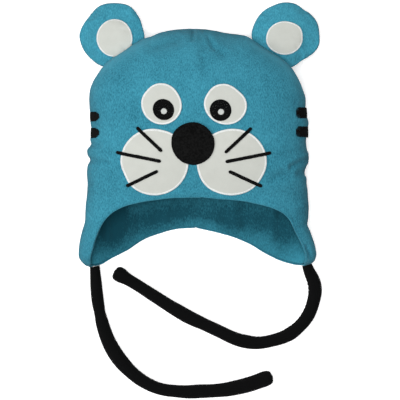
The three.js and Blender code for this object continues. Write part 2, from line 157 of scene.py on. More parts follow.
class Nodes:
    """One node tree, with short ways to add nodes and link them."""

    def __init__(self, tree: bpy.types.NodeTree) -> None:
        """Hold a tree that is still empty or has its output already."""
        self.tree = tree

    def add(
        self,
        kind: str,
        settings: dict[str, object] | None = None,
        inputs: dict[str | int, object] | None = None,
    ) -> bpy.types.Node:
        """Add a node.

        Args:
            kind: Type of the node.
            settings: Its properties, set before its sockets.
            inputs: Values, signals or sockets for its inputs, by name or number.

        Returns:
            The node.
        """
        node = self.tree.nodes.new(kind)
        for name, value in (settings or {}).items():
            setattr(node, name, value)
        for key, value in (inputs or {}).items():
            self.feed(node.inputs[key], value)
        return node

    def feed(self, socket: bpy.types.NodeSocket, value: object) -> None:
        """Set an input, or link it.

        Args:
            socket: The input.
            value: A plain value, a signal or another node's output.
        """
        if isinstance(value, Signal):
            value = value.socket
        if isinstance(value, bpy.types.NodeSocket):
            self.tree.links.new(value, socket)
        else:
            socket.default_value = value

    def noise(self, at: bpy.types.NodeSocket, grain: float, detail: float = 2.0) -> Signal:
        """Soft noise.

        Args:
            at: Coordinates.
            grain: Size of a speck in metres.
            detail: Number of finer layers.

        Returns:
            The noise, about 0.5 with most of it between 0.3 and 0.7.
        """
        values = {"Vector": at, "Scale": 1 / grain, "Detail": detail, "Roughness": 0.6}
        return Signal(self, self.add("ShaderNodeTexNoise", None, values).outputs["Fac"])

    def attribute(self, name: str) -> Signal:
        """A number that the mesh carries under a name."""
        node = self.add("ShaderNodeAttribute", {"attribute_name": name})
        return Signal(self, node.outputs["Fac"])

    def carried(self, name: str, kind: str = "FLOAT_VECTOR") -> bpy.types.NodeSocket:
        """What each point carries under a name, in Geometry Nodes."""
        return self.add("GeometryNodeInputNamedAttribute", {"data_type": kind}, {"Name": name}).outputs[0]

    def mixed(self, share: object, low: object, high: object) -> bpy.types.NodeSocket:
        """A colour between two colours.

        Args:
            share: 0 for the first colour and 1 for the second.
            low: The first colour.
            high: The second colour.

        Returns:
            The colour socket.
        """
        node = self.add("ShaderNodeMix", {"data_type": "RGBA"}, {0: share, 6: low, 7: high})
        return node.outputs[2]

    def bump(self, height: Signal, depth: float, under: object = None) -> bpy.types.NodeSocket:
        """A normal that follows a height.

        Args:
            height: Height from 0 to 1.
            depth: Its depth in metres.
            under: A coarser normal that this one lies on.

        Returns:
            The normal socket.
        """
        node = self.add("ShaderNodeBump", None, {"Height": height, "Distance": depth, "Strength": 1.0})
        if under is not None:
            self.feed(node.inputs["Normal"], under)
        return node.outputs[0]


@dataclass(frozen=True)
class Finish:
    """A cloth or thread with one Principled shader."""

    name: str

    def make(self) -> bpy.types.Material:
        """Make the finish.

        Returns:
            Its material.
        """
        material = bpy.data.materials.new(self.name)
        material.use_nodes = True
        nodes = Nodes(material.node_tree)
        shader = material.node_tree.nodes["Principled BSDF"]
        for name, value in self.inputs(nodes).items():
            nodes.feed(shader.inputs[name], value)
        return material

    def inputs(self, nodes: Nodes) -> dict[str, object]:
        """Values and signals for the shader's inputs, by name."""
        raise NotImplementedError


@dataclass(frozen=True)
class Fleece(Finish):
    """Knitted fleece with a short pile that is combed from the crown to the rim."""

    tip: Colour
    root: Colour
    tuft: float = 0.88 * MM
    combed: float = 0.36
    contrast: float = 5.0
    pile: float = 0.5 * MM
    patch: float = 5 * MM
    cloud: float = 26 * MM
    sheen: float = 0.12
    haze: Colour = (0.50, 0.60, 0.65, 1.0)

    def inputs(self, nodes: Nodes) -> dict[str, object]:
        """Tufts light at their tips, clouds of tone, and the painted shade and light that the mesh carries.

        Args:
            nodes: The material's tree.

        Returns:
            The shader's inputs.
        """
        at = nodes.add("ShaderNodeTexCoord").outputs["Object"]
        stretch = {"Vector": at, "Scale": (1.0, self.combed, 1.0)}
        along = nodes.add("ShaderNodeMapping", None, stretch).outputs[0]
        tufts = nodes.noise(along, self.tuft, 3.0)
        fuzz = nodes.noise(at, self.tuft / 3)
        patches = nodes.noise(at, self.patch).within(0.25, 0.75)
        clouds = nodes.noise(at, self.cloud).within(0.25, 0.75)
        span = 0.5 / self.contrast
        tufted = (tufts * 0.72 + fuzz * 0.28).within(0.5 - span, 0.5 + span)
        light = tufted * 0.6 + patches * 0.16 + clouds * 0.24
        # Each point carries painted shade, which darkens the tone, and painted light where it is below 0.
        shaded_tone = (light - nodes.attribute("painted_shade")).within(0.0, 1.0)
        return {
            "Base Color": nodes.mixed(shaded_tone, self.root, self.tip),
            "Normal": nodes.bump(fuzz, self.pile * 0.4, nodes.bump(tufts, self.pile)),
            "Roughness": 0.95,
            "Specular IOR Level": 0.15,
            "Sheen Weight": self.sheen,
            "Sheen Roughness": 0.6,
            "Sheen Tint": self.haze,
        }


@dataclass(frozen=True)
class Felt(Finish):
    """Pressed felt with short matted fibres."""

    colour: Colour
    shade: Colour
    fibre: float = 0.5 * MM
    nap: float = 0.12 * MM
    sheen: float = 0.05
    span: float = 0.2

    def inputs(self, nodes: Nodes) -> dict[str, object]:
        """Matted fibres with faint clouds of a second tone.

        Args:
            nodes: The material's tree.

        Returns:
            The shader's inputs.
        """
        at = nodes.add("ShaderNodeTexCoord").outputs["Object"]
        fibres = nodes.noise(at, self.fibre, 4.0)
        clouds = nodes.noise(at, self.fibre * 24)
        tone = fibres.within(0.5 - self.span, 0.5 + self.span) * 0.6 + clouds.within(0.3, 0.7) * 0.4
        return {
            "Base Color": nodes.mixed(tone, self.shade, self.colour),
            "Normal": nodes.bump(fibres, self.nap),
            "Roughness": 0.95,
            "Specular IOR Level": 0.05,
            "Sheen Weight": self.sheen,
        }


@dataclass(frozen=True)
class Thread(Finish):
    """Shiny embroidery thread, whose strands differ a little in tone."""

    colour: Colour
    shade: Colour
    gloss: float = 0.45
    shine: float = 0.35

    def inputs(self, nodes: Nodes) -> dict[str, object]:
        """A tone for each strand and a fine twist.

        Args:
            nodes: The material's tree.

        Returns:
            The shader's inputs.
        """
        at = nodes.add("ShaderNodeTexCoord").outputs["Object"]
        twist = nodes.noise(at, 0.25 * MM)
        tone = nodes.attribute("tone") * 0.7 + twist.within(0.3, 0.7) * 0.3
        return {
            "Base Color": nodes.mixed(tone, self.shade, self.colour),
            "Normal": nodes.bump(twist, 0.05 * MM),
            "Roughness": self.gloss,
            "Specular IOR Level": self.shine,
        }


@dataclass(frozen=True)
class BrushedKnit(Finish):
    """Brushed black knit of the ties, with fine ribs along its length."""

    colour: Colour
    shade: Colour
    rib: float = 0.9 * MM

    def inputs(self, nodes: Nodes) -> dict[str, object]:
        """Ribs on the tie's own map, under a short fuzz.

        Args:
            nodes: The material's tree.

        Returns:
            The shader's inputs.
        """
        at = nodes.add("ShaderNodeTexCoord")
        split = nodes.add("ShaderNodeSeparateXYZ", None, {0: at.outputs["UV"]})
        ribs = (Signal(nodes, split.outputs[0]) * (2 * math.pi / self.rib)).sine() * 0.5 + 0.5
        fuzz = nodes.noise(at.outputs["Object"], 0.5 * MM, 3.0)
        tone = fuzz.within(0.3, 0.7) * 0.7 + ribs * 0.3
        return {
            "Base Color": nodes.mixed(tone, self.shade, self.colour),
            "Normal": nodes.bump(fuzz, 0.25 * MM, nodes.bump(ribs, 0.08 * MM)),
            "Roughness": 0.95,
            "Specular IOR Level": 0.08,
        }


@dataclass(frozen=True)
class PaleFloor(Finish):
    """Plain matt white of the studio floor."""

    colour: Colour = (0.94, 0.94, 0.94, 1.0)
    glow: float = 0.45

    def inputs(self, nodes: Nodes) -> dict[str, object]:
        """One even tone, with a faint glow as of a lit table.

        Args:
            nodes: The material's tree.

        Returns:
            The shader's inputs.
        """
        return {
            "Base Color": self.colour,
            "Emission Color": (1.0, 1.0, 1.0, 1.0),
            "Emission Strength": self.glow,
            "Roughness": 0.95,
            "Specular IOR Level": 0.0,
        }


@dataclass(frozen=True)
class Trim:
    """Felt and the thread that sews it down, each with its slot."""

    felt: bpy.types.Material
    felt_slot: Slot
    thread: bpy.types.Material
    thread_slot: Slot


class Wardrobe:
    """Every finish of the hat, made once."""

    def __init__(self) -> None:
        """Make the materials."""
        self.fleece = Fleece("fleece", tip=(0.056, 0.330, 0.450, 1), root=(0.013, 0.130, 0.190, 1)).make()
        # The lining's colours are darker than the shell's: partly its own tone, partly painted shade for the
        # inside of the hat.
        self.lining = Fleece(
            "lining_fleece",
            tip=(0.042, 0.275, 0.375, 1),
            root=(0.004, 0.060, 0.088, 1),
            contrast=2.6,
            sheen=0.06,
        ).make()
        self.white = Trim(
            Felt("white_felt", (0.545, 0.558, 0.520, 1), (0.482, 0.494, 0.456, 1)).make(),
            Slot.WHITE_FELT,
            Thread("white_thread", (0.79, 0.81, 0.80, 1), (0.67, 0.69, 0.68, 1)).make(),
            Slot.WHITE_THREAD,
        )
        black, blacker = (0.0085, 0.0087, 0.0087, 1), (0.0002, 0.0002, 0.0002, 1)
        dark, darker = (0.0050, 0.0050, 0.0052, 1), (0.0016, 0.0016, 0.0017, 1)
        self.black = Trim(
            Felt("black_felt", black, blacker, fibre=1.7 * MM, sheen=0.0, span=0.1).make(),
            Slot.BLACK_FELT,
            Thread("black_thread", dark, darker, gloss=0.6, shine=0.07).make(),
            Slot.BLACK_THREAD,
        )
        self.glint = Thread("glint_thread", (0.64, 0.66, 0.64, 1), (0.56, 0.58, 0.56, 1)).make()
        self.knit = BrushedKnit("tie_knit", (0.0042, 0.0044, 0.0046, 1), (0.0012, 0.0013, 0.0014, 1)).make()


# Meshes


def unit(vectors: np.ndarray) -> np.ndarray:
    """The vectors at length 1."""
    return vectors / np.maximum(np.linalg.norm(vectors, axis=-1, keepdims=True), 1e-12)


def eased(share: np.ndarray) -> np.ndarray:
    """A share held between 0 and 1, with soft ends."""
    held = np.clip(share, 0, 1)
    return held * held * (3 - 2 * held)


def part_way(values: np.ndarray, start: float, width: float | np.ndarray) -> np.ndarray:
    """Share of the way over a width from a start, both in millimetres, held between 0 and 1."""
    return np.clip((values - start * MM) / (width * MM), 0, 1)


def ramp(values: np.ndarray, start: float, width: float | np.ndarray) -> np.ndarray:
    """The same share with soft ends. It runs backwards where the width is below 0."""
    return eased(part_way(values, start, width))


def bell(away: np.ndarray, spread: float) -> np.ndarray:
    """A soft bump of height 1, by the distance from its middle."""
    return np.exp(-((away / spread) ** 2))


def bumps_round(turn: np.ndarray, rows: Bumps) -> np.ndarray:
    """Add up soft bumps round an outline.

    Args:
        turn: Directions in radians.
        rows: Angle in degrees, height and spread of each bump.

    Returns:
        Their height in each direction.
    """
    total = np.zeros_like(turn)
    for angle, height, spread in rows:
        total = total + height * bell((np.degrees(turn) - angle + 180) % 360 - 180, spread)
    return total


def run_along(points: np.ndarray, axis: int = 0) -> np.ndarray:
    """Measure along lines of points.

    Args:
        points: The points.
        axis: Axis of the array that the lines run along.

    Returns:
        Distance of each point from its line's start.
    """
    steps = np.linalg.norm(np.diff(points, axis=axis), axis=-1)
    start = np.zeros_like(np.take(steps, [0], axis=axis))
    return np.concatenate([start, np.cumsum(steps, axis=axis)], axis=axis)


def laid(direction: np.ndarray, up: np.ndarray) -> np.ndarray:
    """A direction turned to lie flat on cloth with the given normals, at length 1."""
    return unit(direction - (direction * up).sum(axis=-1, keepdims=True) * up)


def place(name: str, data: bpy.types.ID) -> bpy.types.Object:
    """Put new data into the scene.

    Args:
        name: Name of its object.
        data: A mesh, a lamp or a camera.

    Returns:
        The object.
    """
    holder = bpy.data.objects.new(name, data)
    bpy.context.scene.collection.objects.link(holder)
    return holder


def bake(piece: bpy.types.Object) -> None:
    """Keep the result of a piece's modifiers as its plain mesh.

    Args:
        piece: The piece.
    """
    graph = bpy.context.evaluated_depsgraph_get()
    mesh = bpy.data.meshes.new_from_object(piece.evaluated_get(graph), depsgraph=graph)
    piece.modifiers.clear()
    piece.data = mesh


class MeshPlan:
    """Points and faces that are gathered before they become one mesh."""

    def __init__(self) -> None:
        """Start with nothing."""
        self.points: list[np.ndarray] = []
        self.faces: list[list[int]] = []
        self.count = 0

    def lay(self, points: np.ndarray) -> np.ndarray:
        """Add points.

        Args:
            points: Any array of places whose last axis is x, y, z.

        Returns:
            Their numbers, in the array's shape without its last axis.
        """
        flat = points.reshape(-1, 3)
        numbers = np.arange(self.count, self.count + len(flat)).reshape(points.shape[:-1])
        self.points.append(flat)
        self.count += len(flat)
        return numbers

    def quads(self, numbers: np.ndarray, flip: bool = False, ring: bool = False) -> None:
        """Join a grid of points with faces.

        Args:
            numbers: Point numbers in rows and columns.
            flip: Turn the faces round.
            ring: Join the end of each row to its start.
        """
        if ring:
            numbers = np.concatenate([numbers, numbers[:, :1]], axis=1)
        corners = [numbers[:-1, :-1], numbers[1:, :-1], numbers[1:, 1:], numbers[:-1, 1:]]
        quads = np.stack(corners, axis=-1).reshape(-1, 4)
        self.faces += (quads[:, ::-1] if flip else quads).tolist()

    def make(self, name: str, material: bpy.types.Material) -> bpy.types.Object:
        """Turn the plan into an object.

        Args:
            name: Name of the piece.
            material: Its finish.

        Returns:
            The object, with close points merged and smooth shading.
        """
        mesh = bpy.data.meshes.new(name)
        mesh.from_pydata(np.concatenate(self.points).tolist(), [], self.faces)
        work = bmesh.new()
        work.from_mesh(mesh)
        bmesh.ops.remove_doubles(work, verts=work.verts, dist=0.002 * MM)
        bmesh.ops.dissolve_degenerate(work, edges=work.edges, dist=0.001 * MM)
        work.to_mesh(mesh)
        work.free()
        mesh.materials.append(material)
        mesh.shade_smooth()
        return place(name, mesh)


def hand_over(piece: bpy.types.Object, slot: Slot, *nodes: str) -> bpy.types.Object:
    """Give a finished piece to the frame, and report it.

    Args:
        piece: The piece.
        slot: The record's slot that it takes its finish from; not used.
        nodes: CAD nodes that it stands for.

    Returns:
        The piece.
    """
    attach(piece, BODY)
    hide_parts(*nodes)
    LOG.info("%s: %d faces", piece.name, len(piece.data.polygons))
    return piece


def set_numbers(piece: bpy.types.Object, name: str, values: np.ndarray) -> None:
    """Store a number for each point of a piece.

    Args:
        piece: The piece.
        name: Name of the attribute.
        values: One number for each point.
    """
    attribute = piece.data.attributes.new(name, "FLOAT", "POINT")
    attribute.data.foreach_set("value", np.asarray(values, np.float32).ravel())


def points_of(piece: bpy.types.Object) -> np.ndarray:
    """Read the points of a piece's mesh.

    Args:
        piece: The piece.

    Returns:
        The points in rows.
    """
    flat = np.empty(len(piece.data.vertices) * 3)
    piece.data.vertices.foreach_get("co", flat)
    return flat.reshape(-1, 3)


class SoftNoise:
    """Smooth random waves through space, the same in each run."""

    def __init__(self, seed: int, size: float, count: int = 24) -> None:
        """Draw the waves.

        Args:
            seed: Number that fixes them.
            size: Distance between crests in metres.
            count: Number of crests before they repeat.
        """
        self.lattice = np.random.default_rng(seed).uniform(-1, 1, (count, count, count))
        self.size = size
        self.count = count

    def __call__(self, points: np.ndarray) -> np.ndarray:
        """Read the waves.

        Args:
            points: Places, with x, y, z on their last axis.

        Returns:
            The waves' height there, between -1 and 1.
        """
        cell = points / self.size
        low = np.floor(cell).astype(int)
        part = eased(cell - low)
        total = np.zeros(points.shape[:-1])
        for corner in np.ndindex(2, 2, 2):
            x, y, z = np.moveaxis((low + corner) % self.count, -1, 0)
            share = np.prod(np.where(corner, part, 1 - part), axis=-1)
            total += share * self.lattice[x, y, z]
        return total


class Ground:
    """The top of a finished piece, on which other pieces are laid."""

    def __init__(self, piece: bpy.types.Object) -> None:
        """Read the piece's mesh."""
        faces = [list(face.vertices) for face in piece.data.polygons]
        self.tree = BVHTree.FromPolygons(points_of(piece).tolist(), faces)

    def height(self, x: float, y: float) -> float:
        """Height of the top at a place, or nan beside the piece."""
        hit = self.tree.ray_cast(Vector((x, y, 0.3)), Vector((0, 0, -1)))[0]
        return math.nan if hit is None else hit.z

    def heights(self, x: np.ndarray, y: np.ndarray) -> np.ndarray:
        """Heights of the top at some places."""
        return np.array([self.height(*at) for at in zip(x.ravel(), y.ravel())]).reshape(x.shape)

    def rest(self, x: np.ndarray, y: np.ndarray, span: float = 1.2 * MM) -> tuple[np.ndarray, np.ndarray]:
        """Places on the top, seen from above.

        Args:
            x: Places across.
            y: Places along.
            span: Distance over which the slope is read.

        Returns:
            The places with their heights, and the upward normals there.
        """
        z = self.heights(x, y)
        slopes = []
        for dx, dy in ((span, 0), (0, span)):
            ahead, behind = self.heights(x + dx, y + dy), self.heights(x - dx, y - dy)
            one_sided = np.where(np.isnan(ahead), (z - behind) / span, (ahead - z) / span)
            both = (ahead - behind) / (2 * span)
            slopes.append(np.nan_to_num(np.where(np.isnan(both), one_sided, both)))
        up = unit(np.stack([-slopes[0], -slopes[1], np.ones_like(z)], axis=-1))
        return np.stack([x, y, z], axis=-1), up

    def nearest(self, points: np.ndarray) -> np.ndarray:
        """The surface's nearest places to some points in rows."""
        return np.array([self.tree.find_nearest(Vector(point))[0] for point in points])


# The form of the lying hat


class Section(NamedTuple):
    """The hat's section at a distance below the crown."""

    y: float
    left: float
    right: float
    seam: float
    front: float


class Line(NamedTuple):
    """A line from the crown's top to the rim, by its angle on the crown and at the rim."""

    crown: float
    rim: float
    y: float


SECTIONS = (
    Section(0.034, 0.1083, 0.1083, 0.034, 0.045),
    Section(0.004, 0.1074, 0.1096, 0.0345, 0.0455),
    Section(-0.026, 0.1088, 0.1094, 0.0335, 0.0435),
    Section(-0.050, 0.1100, 0.1090, 0.0315, 0.0395),
    Section(-0.064, 0.1108, 0.1100, 0.0295, 0.0365),
    Section(-0.080, 0.1122, 0.1102, 0.0265, 0.035),
    Section(-0.096, 0.1156, 0.1128, 0.022, 0.0335),
    Section(-0.110, 0.1186, 0.1176, 0.017, 0.031),
    Section(-0.120, 0.1196, 0.1196, 0.0125, 0.028),
    Section(-0.133, 0.1196, 0.1196, 0.007, 0.021),
)
FRONT_MIDDLE = (
    Line(0, 0, -0.0640), Line(9, 12, -0.0645), Line(18, 23, -0.0662),
    Line(27, 33, -0.0700),
)
FRONT_LEFT = (
    *FRONT_MIDDLE,
    Line(35, 40.2, -0.0748), Line(42, 45.2, -0.0803), Line(49, 49.6, -0.0890),
    Line(56, 52.6, -0.1020), Line(63, 54.4, -0.1145), Line(70, 57.4, -0.1245),
    Line(77, 63.4, -0.1304), Line(84, 75.4, -0.1328), Line(90, 90, -0.1337),
)
FRONT_RIGHT = (
    *FRONT_MIDDLE,
    Line(35, 41, -0.0743), Line(42, 47.3, -0.0800), Line(49, 52.1, -0.0890),
    Line(56, 54.8, -0.1020), Line(63, 57, -0.1145), Line(70, 59.5, -0.1240),
    Line(77, 65, -0.1296), Line(84, 76, -0.1316), Line(90, 90, -0.1322),
)
BACK_LEFT = (
    Line(0, 0, -0.0933), Line(12, 10, -0.0946), Line(24, 18, -0.0991),
    Line(35, 25, -0.1052), Line(46, 31.5, -0.1153), Line(57, 38.5, -0.1231),
    Line(67, 46.5, -0.1297), Line(76, 57, -0.1323), Line(83, 73, -0.1335),
    Line(90, 90, -0.1337),
)
BACK_RIGHT = (
    Line(0, 0, -0.0933), Line(12, 10, -0.0978), Line(24, 18, -0.1027),
    Line(35, 25, -0.1096), Line(46, 31.5, -0.1192), Line(57, 38.5, -0.1260),
    Line(67, 46.5, -0.1296), Line(76, 57, -0.1315), Line(83, 73, -0.1322),
    Line(90, 90, -0.1322),
)
FRONT_RIM_Y = -65 * MM
FRONT_RIM_BOW = 0.48
FRONT_RIM_UP = (
    (-90, 0.0),
    (-60, 0.2),
    (-40, 0.0),
    (-30, -0.65),
    (-22, -0.5),
    (-15, 0.1),
    (-10, 0.8),
    (0, 1.0),
    (5, 1.0),
    (10, 0.1),
    (18, -0.15),
    (30, -0.1),
    (38, -0.4),
    (48, -0.3),
    (60, 0.1),
    (90, 0.0),
)


def smooth_read(rows: Sequence[tuple[float, ...]], at: np.ndarray) -> np.ndarray:
    """Read a table with a smooth slope through each of its rows.

    Args:
        rows: The table, whose first column rises or falls.
        at: Values of the first column.

    Returns:
        The other columns at those values, on a new last axis.
    """
    table = np.array(sorted(rows))
    keys, last = table[:, 0], len(table) - 1
    before = np.maximum(np.arange(last + 1) - 1, 0)
    after = np.minimum(np.arange(last + 1) + 1, last)
    slopes = (table[after] - table[before]) / (keys[after] - keys[before])[:, None]
    i = np.clip(np.searchsorted(keys, at, side="right") - 1, 0, last - 1)
    span = (keys[i + 1] - keys[i])[..., None]
    t = np.clip((at - keys[i])[..., None] / span, 0, 1)
    low = table[i] * (2 * t**3 - 3 * t**2 + 1) + span * slopes[i] * (t**3 - 2 * t**2 + t)
    high = table[i + 1] * (3 * t**2 - 2 * t**3) + span * slopes[i + 1] * (t**3 - t**2)
    return (low + high)[..., 1:]


@dataclass(frozen=True)
class HatForm:
    """The hat's outer surface, as in the part's source.

    A place on it has an angle in degrees and a drop. Angle 0 is the middle of the front, 90 and
    -90 are the side seams, and 180 is the middle of the back. The drop is the distance below the
    brow line, and is negative on the crown.
    """

    centre_x: float = -2.8 * MM
    brow_y: float = 34 * MM
    half_width: float = 108.3 * MM
    rise: float = 71.8 * MM
    arc: float = 95 * MM
    seam_top: float = 31 * MM
    seam_height: float = 34 * MM
    front_height: float = 45 * MM
    roll: float = -4.3 * MM
    back_roll: float = 2.7 * MM
    front_power: float = 2.6
    back_power: float = 3.4
    press: float = 7 * MM
    press_blend: float = 3 * MM
    dent_depth: float = 0.042
    dent_angle: float = 44.5
    dent_spread: float = 14
    left_end_y: float = -133.9 * MM
    right_end_y: float = -132.4 * MM
    flap_end_height: float = 13.5 * MM
    flap_end_inward: float = 16 * MM

    def surface(self, angle: np.ndarray, drop: np.ndarray) -> np.ndarray:
        """Points of the surface.

        Args:
            angle: Angles in degrees.
            drop: Distances below the brow line.

        Returns:
            The points, on a new last axis.
        """
        on_crown = drop < 0
        rise = np.where(on_crown, (1 + drop / self.arc) * math.pi / 2, math.pi / 2)
        size = np.sin(rise)
        y = np.where(on_crown, self.brow_y + self.rise * np.cos(rise), self.brow_y - drop)
        left, right, seam, front = np.moveaxis(smooth_read(SECTIONS, np.minimum(y, self.brow_y)), -1, 0)
        left = np.where(on_crown, self.half_width * size, left - self.turned_in(y, self.left_end_y))
        right = np.where(on_crown, self.half_width * size, right - self.turned_in(y, self.right_end_y))
        seam = np.where(on_crown, self.seam_top + (self.seam_height - self.seam_top) * size, seam)
        front = np.where(on_crown, self.front_height * size, front)
        is_front = np.abs(angle) <= 90
        sine, cosine = np.sin(np.radians(angle)), np.abs(np.cos(np.radians(angle)))
        power = np.where(is_front, self.front_power, self.back_power)
        radius = (np.abs(sine) ** power + cosine**power) ** (1 / power)
        s, c = sine / radius, cosine / radius
        away = (np.degrees(rise) - self.dent_angle) / self.dent_spread
        dent = self.dent_depth * np.exp(-(away**2)) * s**6
        half = np.where(s < 0, left, right)
        roll = np.where(is_front, self.roll, self.roll + self.back_roll * c * size)
        x = self.centre_x + half * s * (1 - dent) + roll * (1 - np.abs(s) * size)
        y = self.brow_y + (y - self.brow_y) * (1 - dent)
        sunk = seam - (seam + self.press) * size * c
        blend = self.press_blend
        pressed = np.where(sunk > blend, sunk, np.maximum(sunk + blend, 0) ** 2 / (4 * blend))
        return np.stack([x, y, np.where(is_front, seam + front * c, pressed)], axis=-1)

    def turned_in(self, y: np.ndarray, end_y: float) -> np.ndarray:
        """How far a flap's side lies inwards near its rounded end.

        Args:
            y: Places along.
            end_y: Place of the flap's end.

        Returns:
            The distances inwards.
        """
        share = np.clip((end_y + self.flap_end_height - y) / self.flap_end_height, 0, 1)
        return self.flap_end_inward * (1 - np.sqrt(1 - share**2))

    def inward(self, angle: np.ndarray, drop: np.ndarray) -> np.ndarray:
        """Inward normals at some places of the surface.

        Args:
            angle: Angles in degrees.
            drop: Distances below the brow line.

        Returns:
            The normals, at length 1.
        """
        turn, step = 0.05, 0.05 * MM
        across = self.surface(angle + turn, drop) - self.surface(angle - turn, drop)
        along = self.surface(angle, drop + step) - self.surface(angle, drop - step)
        normal = unit(np.cross(across, along))
        return np.where((drop <= -self.arc)[..., None], np.array([0.0, -1.0, 0.0]), normal)


@dataclass(frozen=True)
class Crease:
    """A crease between two places seen from above, with soft shoulders. Its sizes are in millimetres."""

    start: Place
    end: Place
    depth: float
    width: float

    def sink(self, points: np.ndarray) -> np.ndarray:
        """How far the cloth sinks.

        Args:
            points: Points of the cloth.

        Returns:
            The depth at each of them.
        """
        run = np.subtract(self.end, self.start)
        away = points[..., :2] / MM - self.start
        along = np.clip(away @ run / (run @ run), 0, 1)
        ratio = np.linalg.norm(away - along[..., None] * run, axis=-1) / self.width
        return self.depth * MM * (bell(ratio, 1) - 0.35 * bell(ratio - 1.9, 1))


@dataclass(frozen=True)
class Dent:
    """A place where a side is drawn in, or bulges if the depth is below 0, with sizes in millimetres."""

    sign: int
    y: float
    depth: float
    spread: float

    def shift(self, points: np.ndarray, angle: np.ndarray) -> np.ndarray:
        """How far points move across.

        Args:
            points: Points of the cloth.
            angle: Their angles in degrees.

        Returns:
            The shift of each of them.
        """
        near = np.clip(np.sin(np.radians(angle)) * self.sign, 0, 1) ** 10
        return -self.sign * self.depth * MM * near * bell(points[..., 1] / MM - self.y, self.spread)


DENTS = (
    Dent(-1, 61, 1.5, 9),
    Dent(-1, 17.5, 1.3, 4.5),
    Dent(-1, 2.5, 1.9, 6),
    Dent(-1, -9.5, 1.3, 3),
    Dent(-1, -17, -2.2, 5),
    Dent(-1, -26, 1.3, 3.5),
    Dent(-1, -38, -1.3, 9),
    Dent(-1, -72, -0.7, 8),
    Dent(-1, -89, 1, 6),
    Dent(1, 57, 2.8, 13),
    Dent(1, 44, 1, 6),
    Dent(1, 24, 1.5, 5),
    Dent(1, 11, -1.2, 4.5),
    Dent(1, -7, 1.7, 7),
    Dent(1, -16.5, 0.9, 4.5),
    Dent(1, -23.5, -2.2, 6),
    Dent(1, -38.5, 1.8, 6),
    Dent(1, -56, -0.7, 5),
    Dent(1, -74, -1.4, 10),
    Dent(1, -90.5, 1.8, 4.5),
    Dent(1, -128, -1.5, 3),
)
FRONT_CREASES = (
    Crease((108.5, -22.8), (90.5, -32.8), 1.6, 2.6),
    Crease((104, -33), (72.4, -44.5), 0.9, 5),
    Crease((-110, -26.2), (-92, -29), 0.9, 2.6),
    Crease((-113, -11), (-100, -12.5), 0.8, 2.4),
    Crease((110, -37.9), (98, -40), 0.9, 2.6),
    Crease((-7.3, 103), (-7.3, 93.5), 0.9, 2.2),
    Crease((6.7, 97.6), (13.6, 85.7), 0.8, 2.4),
    Crease((0.7, 95.6), (3.7, 58.8), 0.6, 3.6),
    Crease((-22.2, 93.7), (-45.1, 85.7), 0.8, 5),
    Crease((7.7, 88.7), (21.6, 78.7), 0.7, 4.5),
    Crease((106.3, -112.6), (109.8, -122.6), 0.9, 1.8),
)
LINING_CREASES = (
    Crease((-96, -78), (-93, -106), -2.2, 4),
    Crease((-70, -70), (-71, -98), -1.8, 4.5),
    Crease((-35, -64), (-33, -93), -1.2, 6),
    Crease((33, -64), (36, -94), -1.4, 5),
    Crease((74, -70), (72, -105), -1.8, 5),
)


@dataclass(frozen=True)
class Lie:
    """How the cloth of the lying hat departs from its plain form."""

    settle: float = 0.7 * MM
    settle_from: float = 60 * MM
    settle_over: float = 42 * MM
    dips: Bumps = (
        (24.5 * MM, 0.9 * MM, 8.5 * MM),
        (-49.5 * MM, 1.35 * MM, 5 * MM),
        (47.5 * MM, -2.6 * MM, 9 * MM),
    )
    broad: float = 0.55 * MM
    fine: float = 0.2 * MM

    def shifted(self, points: np.ndarray, angle: np.ndarray) -> np.ndarray:
        """Points moved with the dents of the sides and the settled crown.

        Args:
            points: Places on the plain form.
            angle: Their angles in degrees.

        Returns:
            The moved places.
        """
        moved = points.copy()
        for dent in DENTS:
            moved[..., 0] += dent.shift(points, angle)
        high = np.clip((points[..., 1] - self.settle_from) / self.settle_over, 0, 1)
        dips = sum(depth * bell(points[..., 0] - x, spread) for x, depth, spread in self.dips)
        moved[..., 1] -= (self.settle + dips) * high
        return moved

    def sink(self, points: np.ndarray, is_front: bool | np.ndarray) -> np.ndarray:
        """Folds and waves that go through both layers.

        Args:
            points: Places on the plain form.
            is_front: Whether they belong to the front panel.

        Returns:
            How far each place lies below the plain form.
        """
        waves = self.broad * SoftNoise(3, 46 * MM)(points) + self.fine * SoftNoise(4, 15 * MM)(points)
        folds = sum(crease.sink(points) for crease in FRONT_CREASES)
        return np.where(is_front, waves + folds, np.maximum(waves + 0.3 * MM, 0))


@dataclass(frozen=True)
class Panel:
    """A panel's points on the plain and on the lying form, with what is measured on them.

    The arrays have rows from the crown's top to the rim. on_tube is 0 on the crown's top and 1
    below it, and rolled is the share of the roll beside a seam.
    """

    side: Side
    points: np.ndarray
    lying: np.ndarray
    inward: np.ndarray
    seam: np.ndarray
    rim: np.ndarray
    on_tube: np.ndarray
    rolled: np.ndarray
    folds: np.ndarray


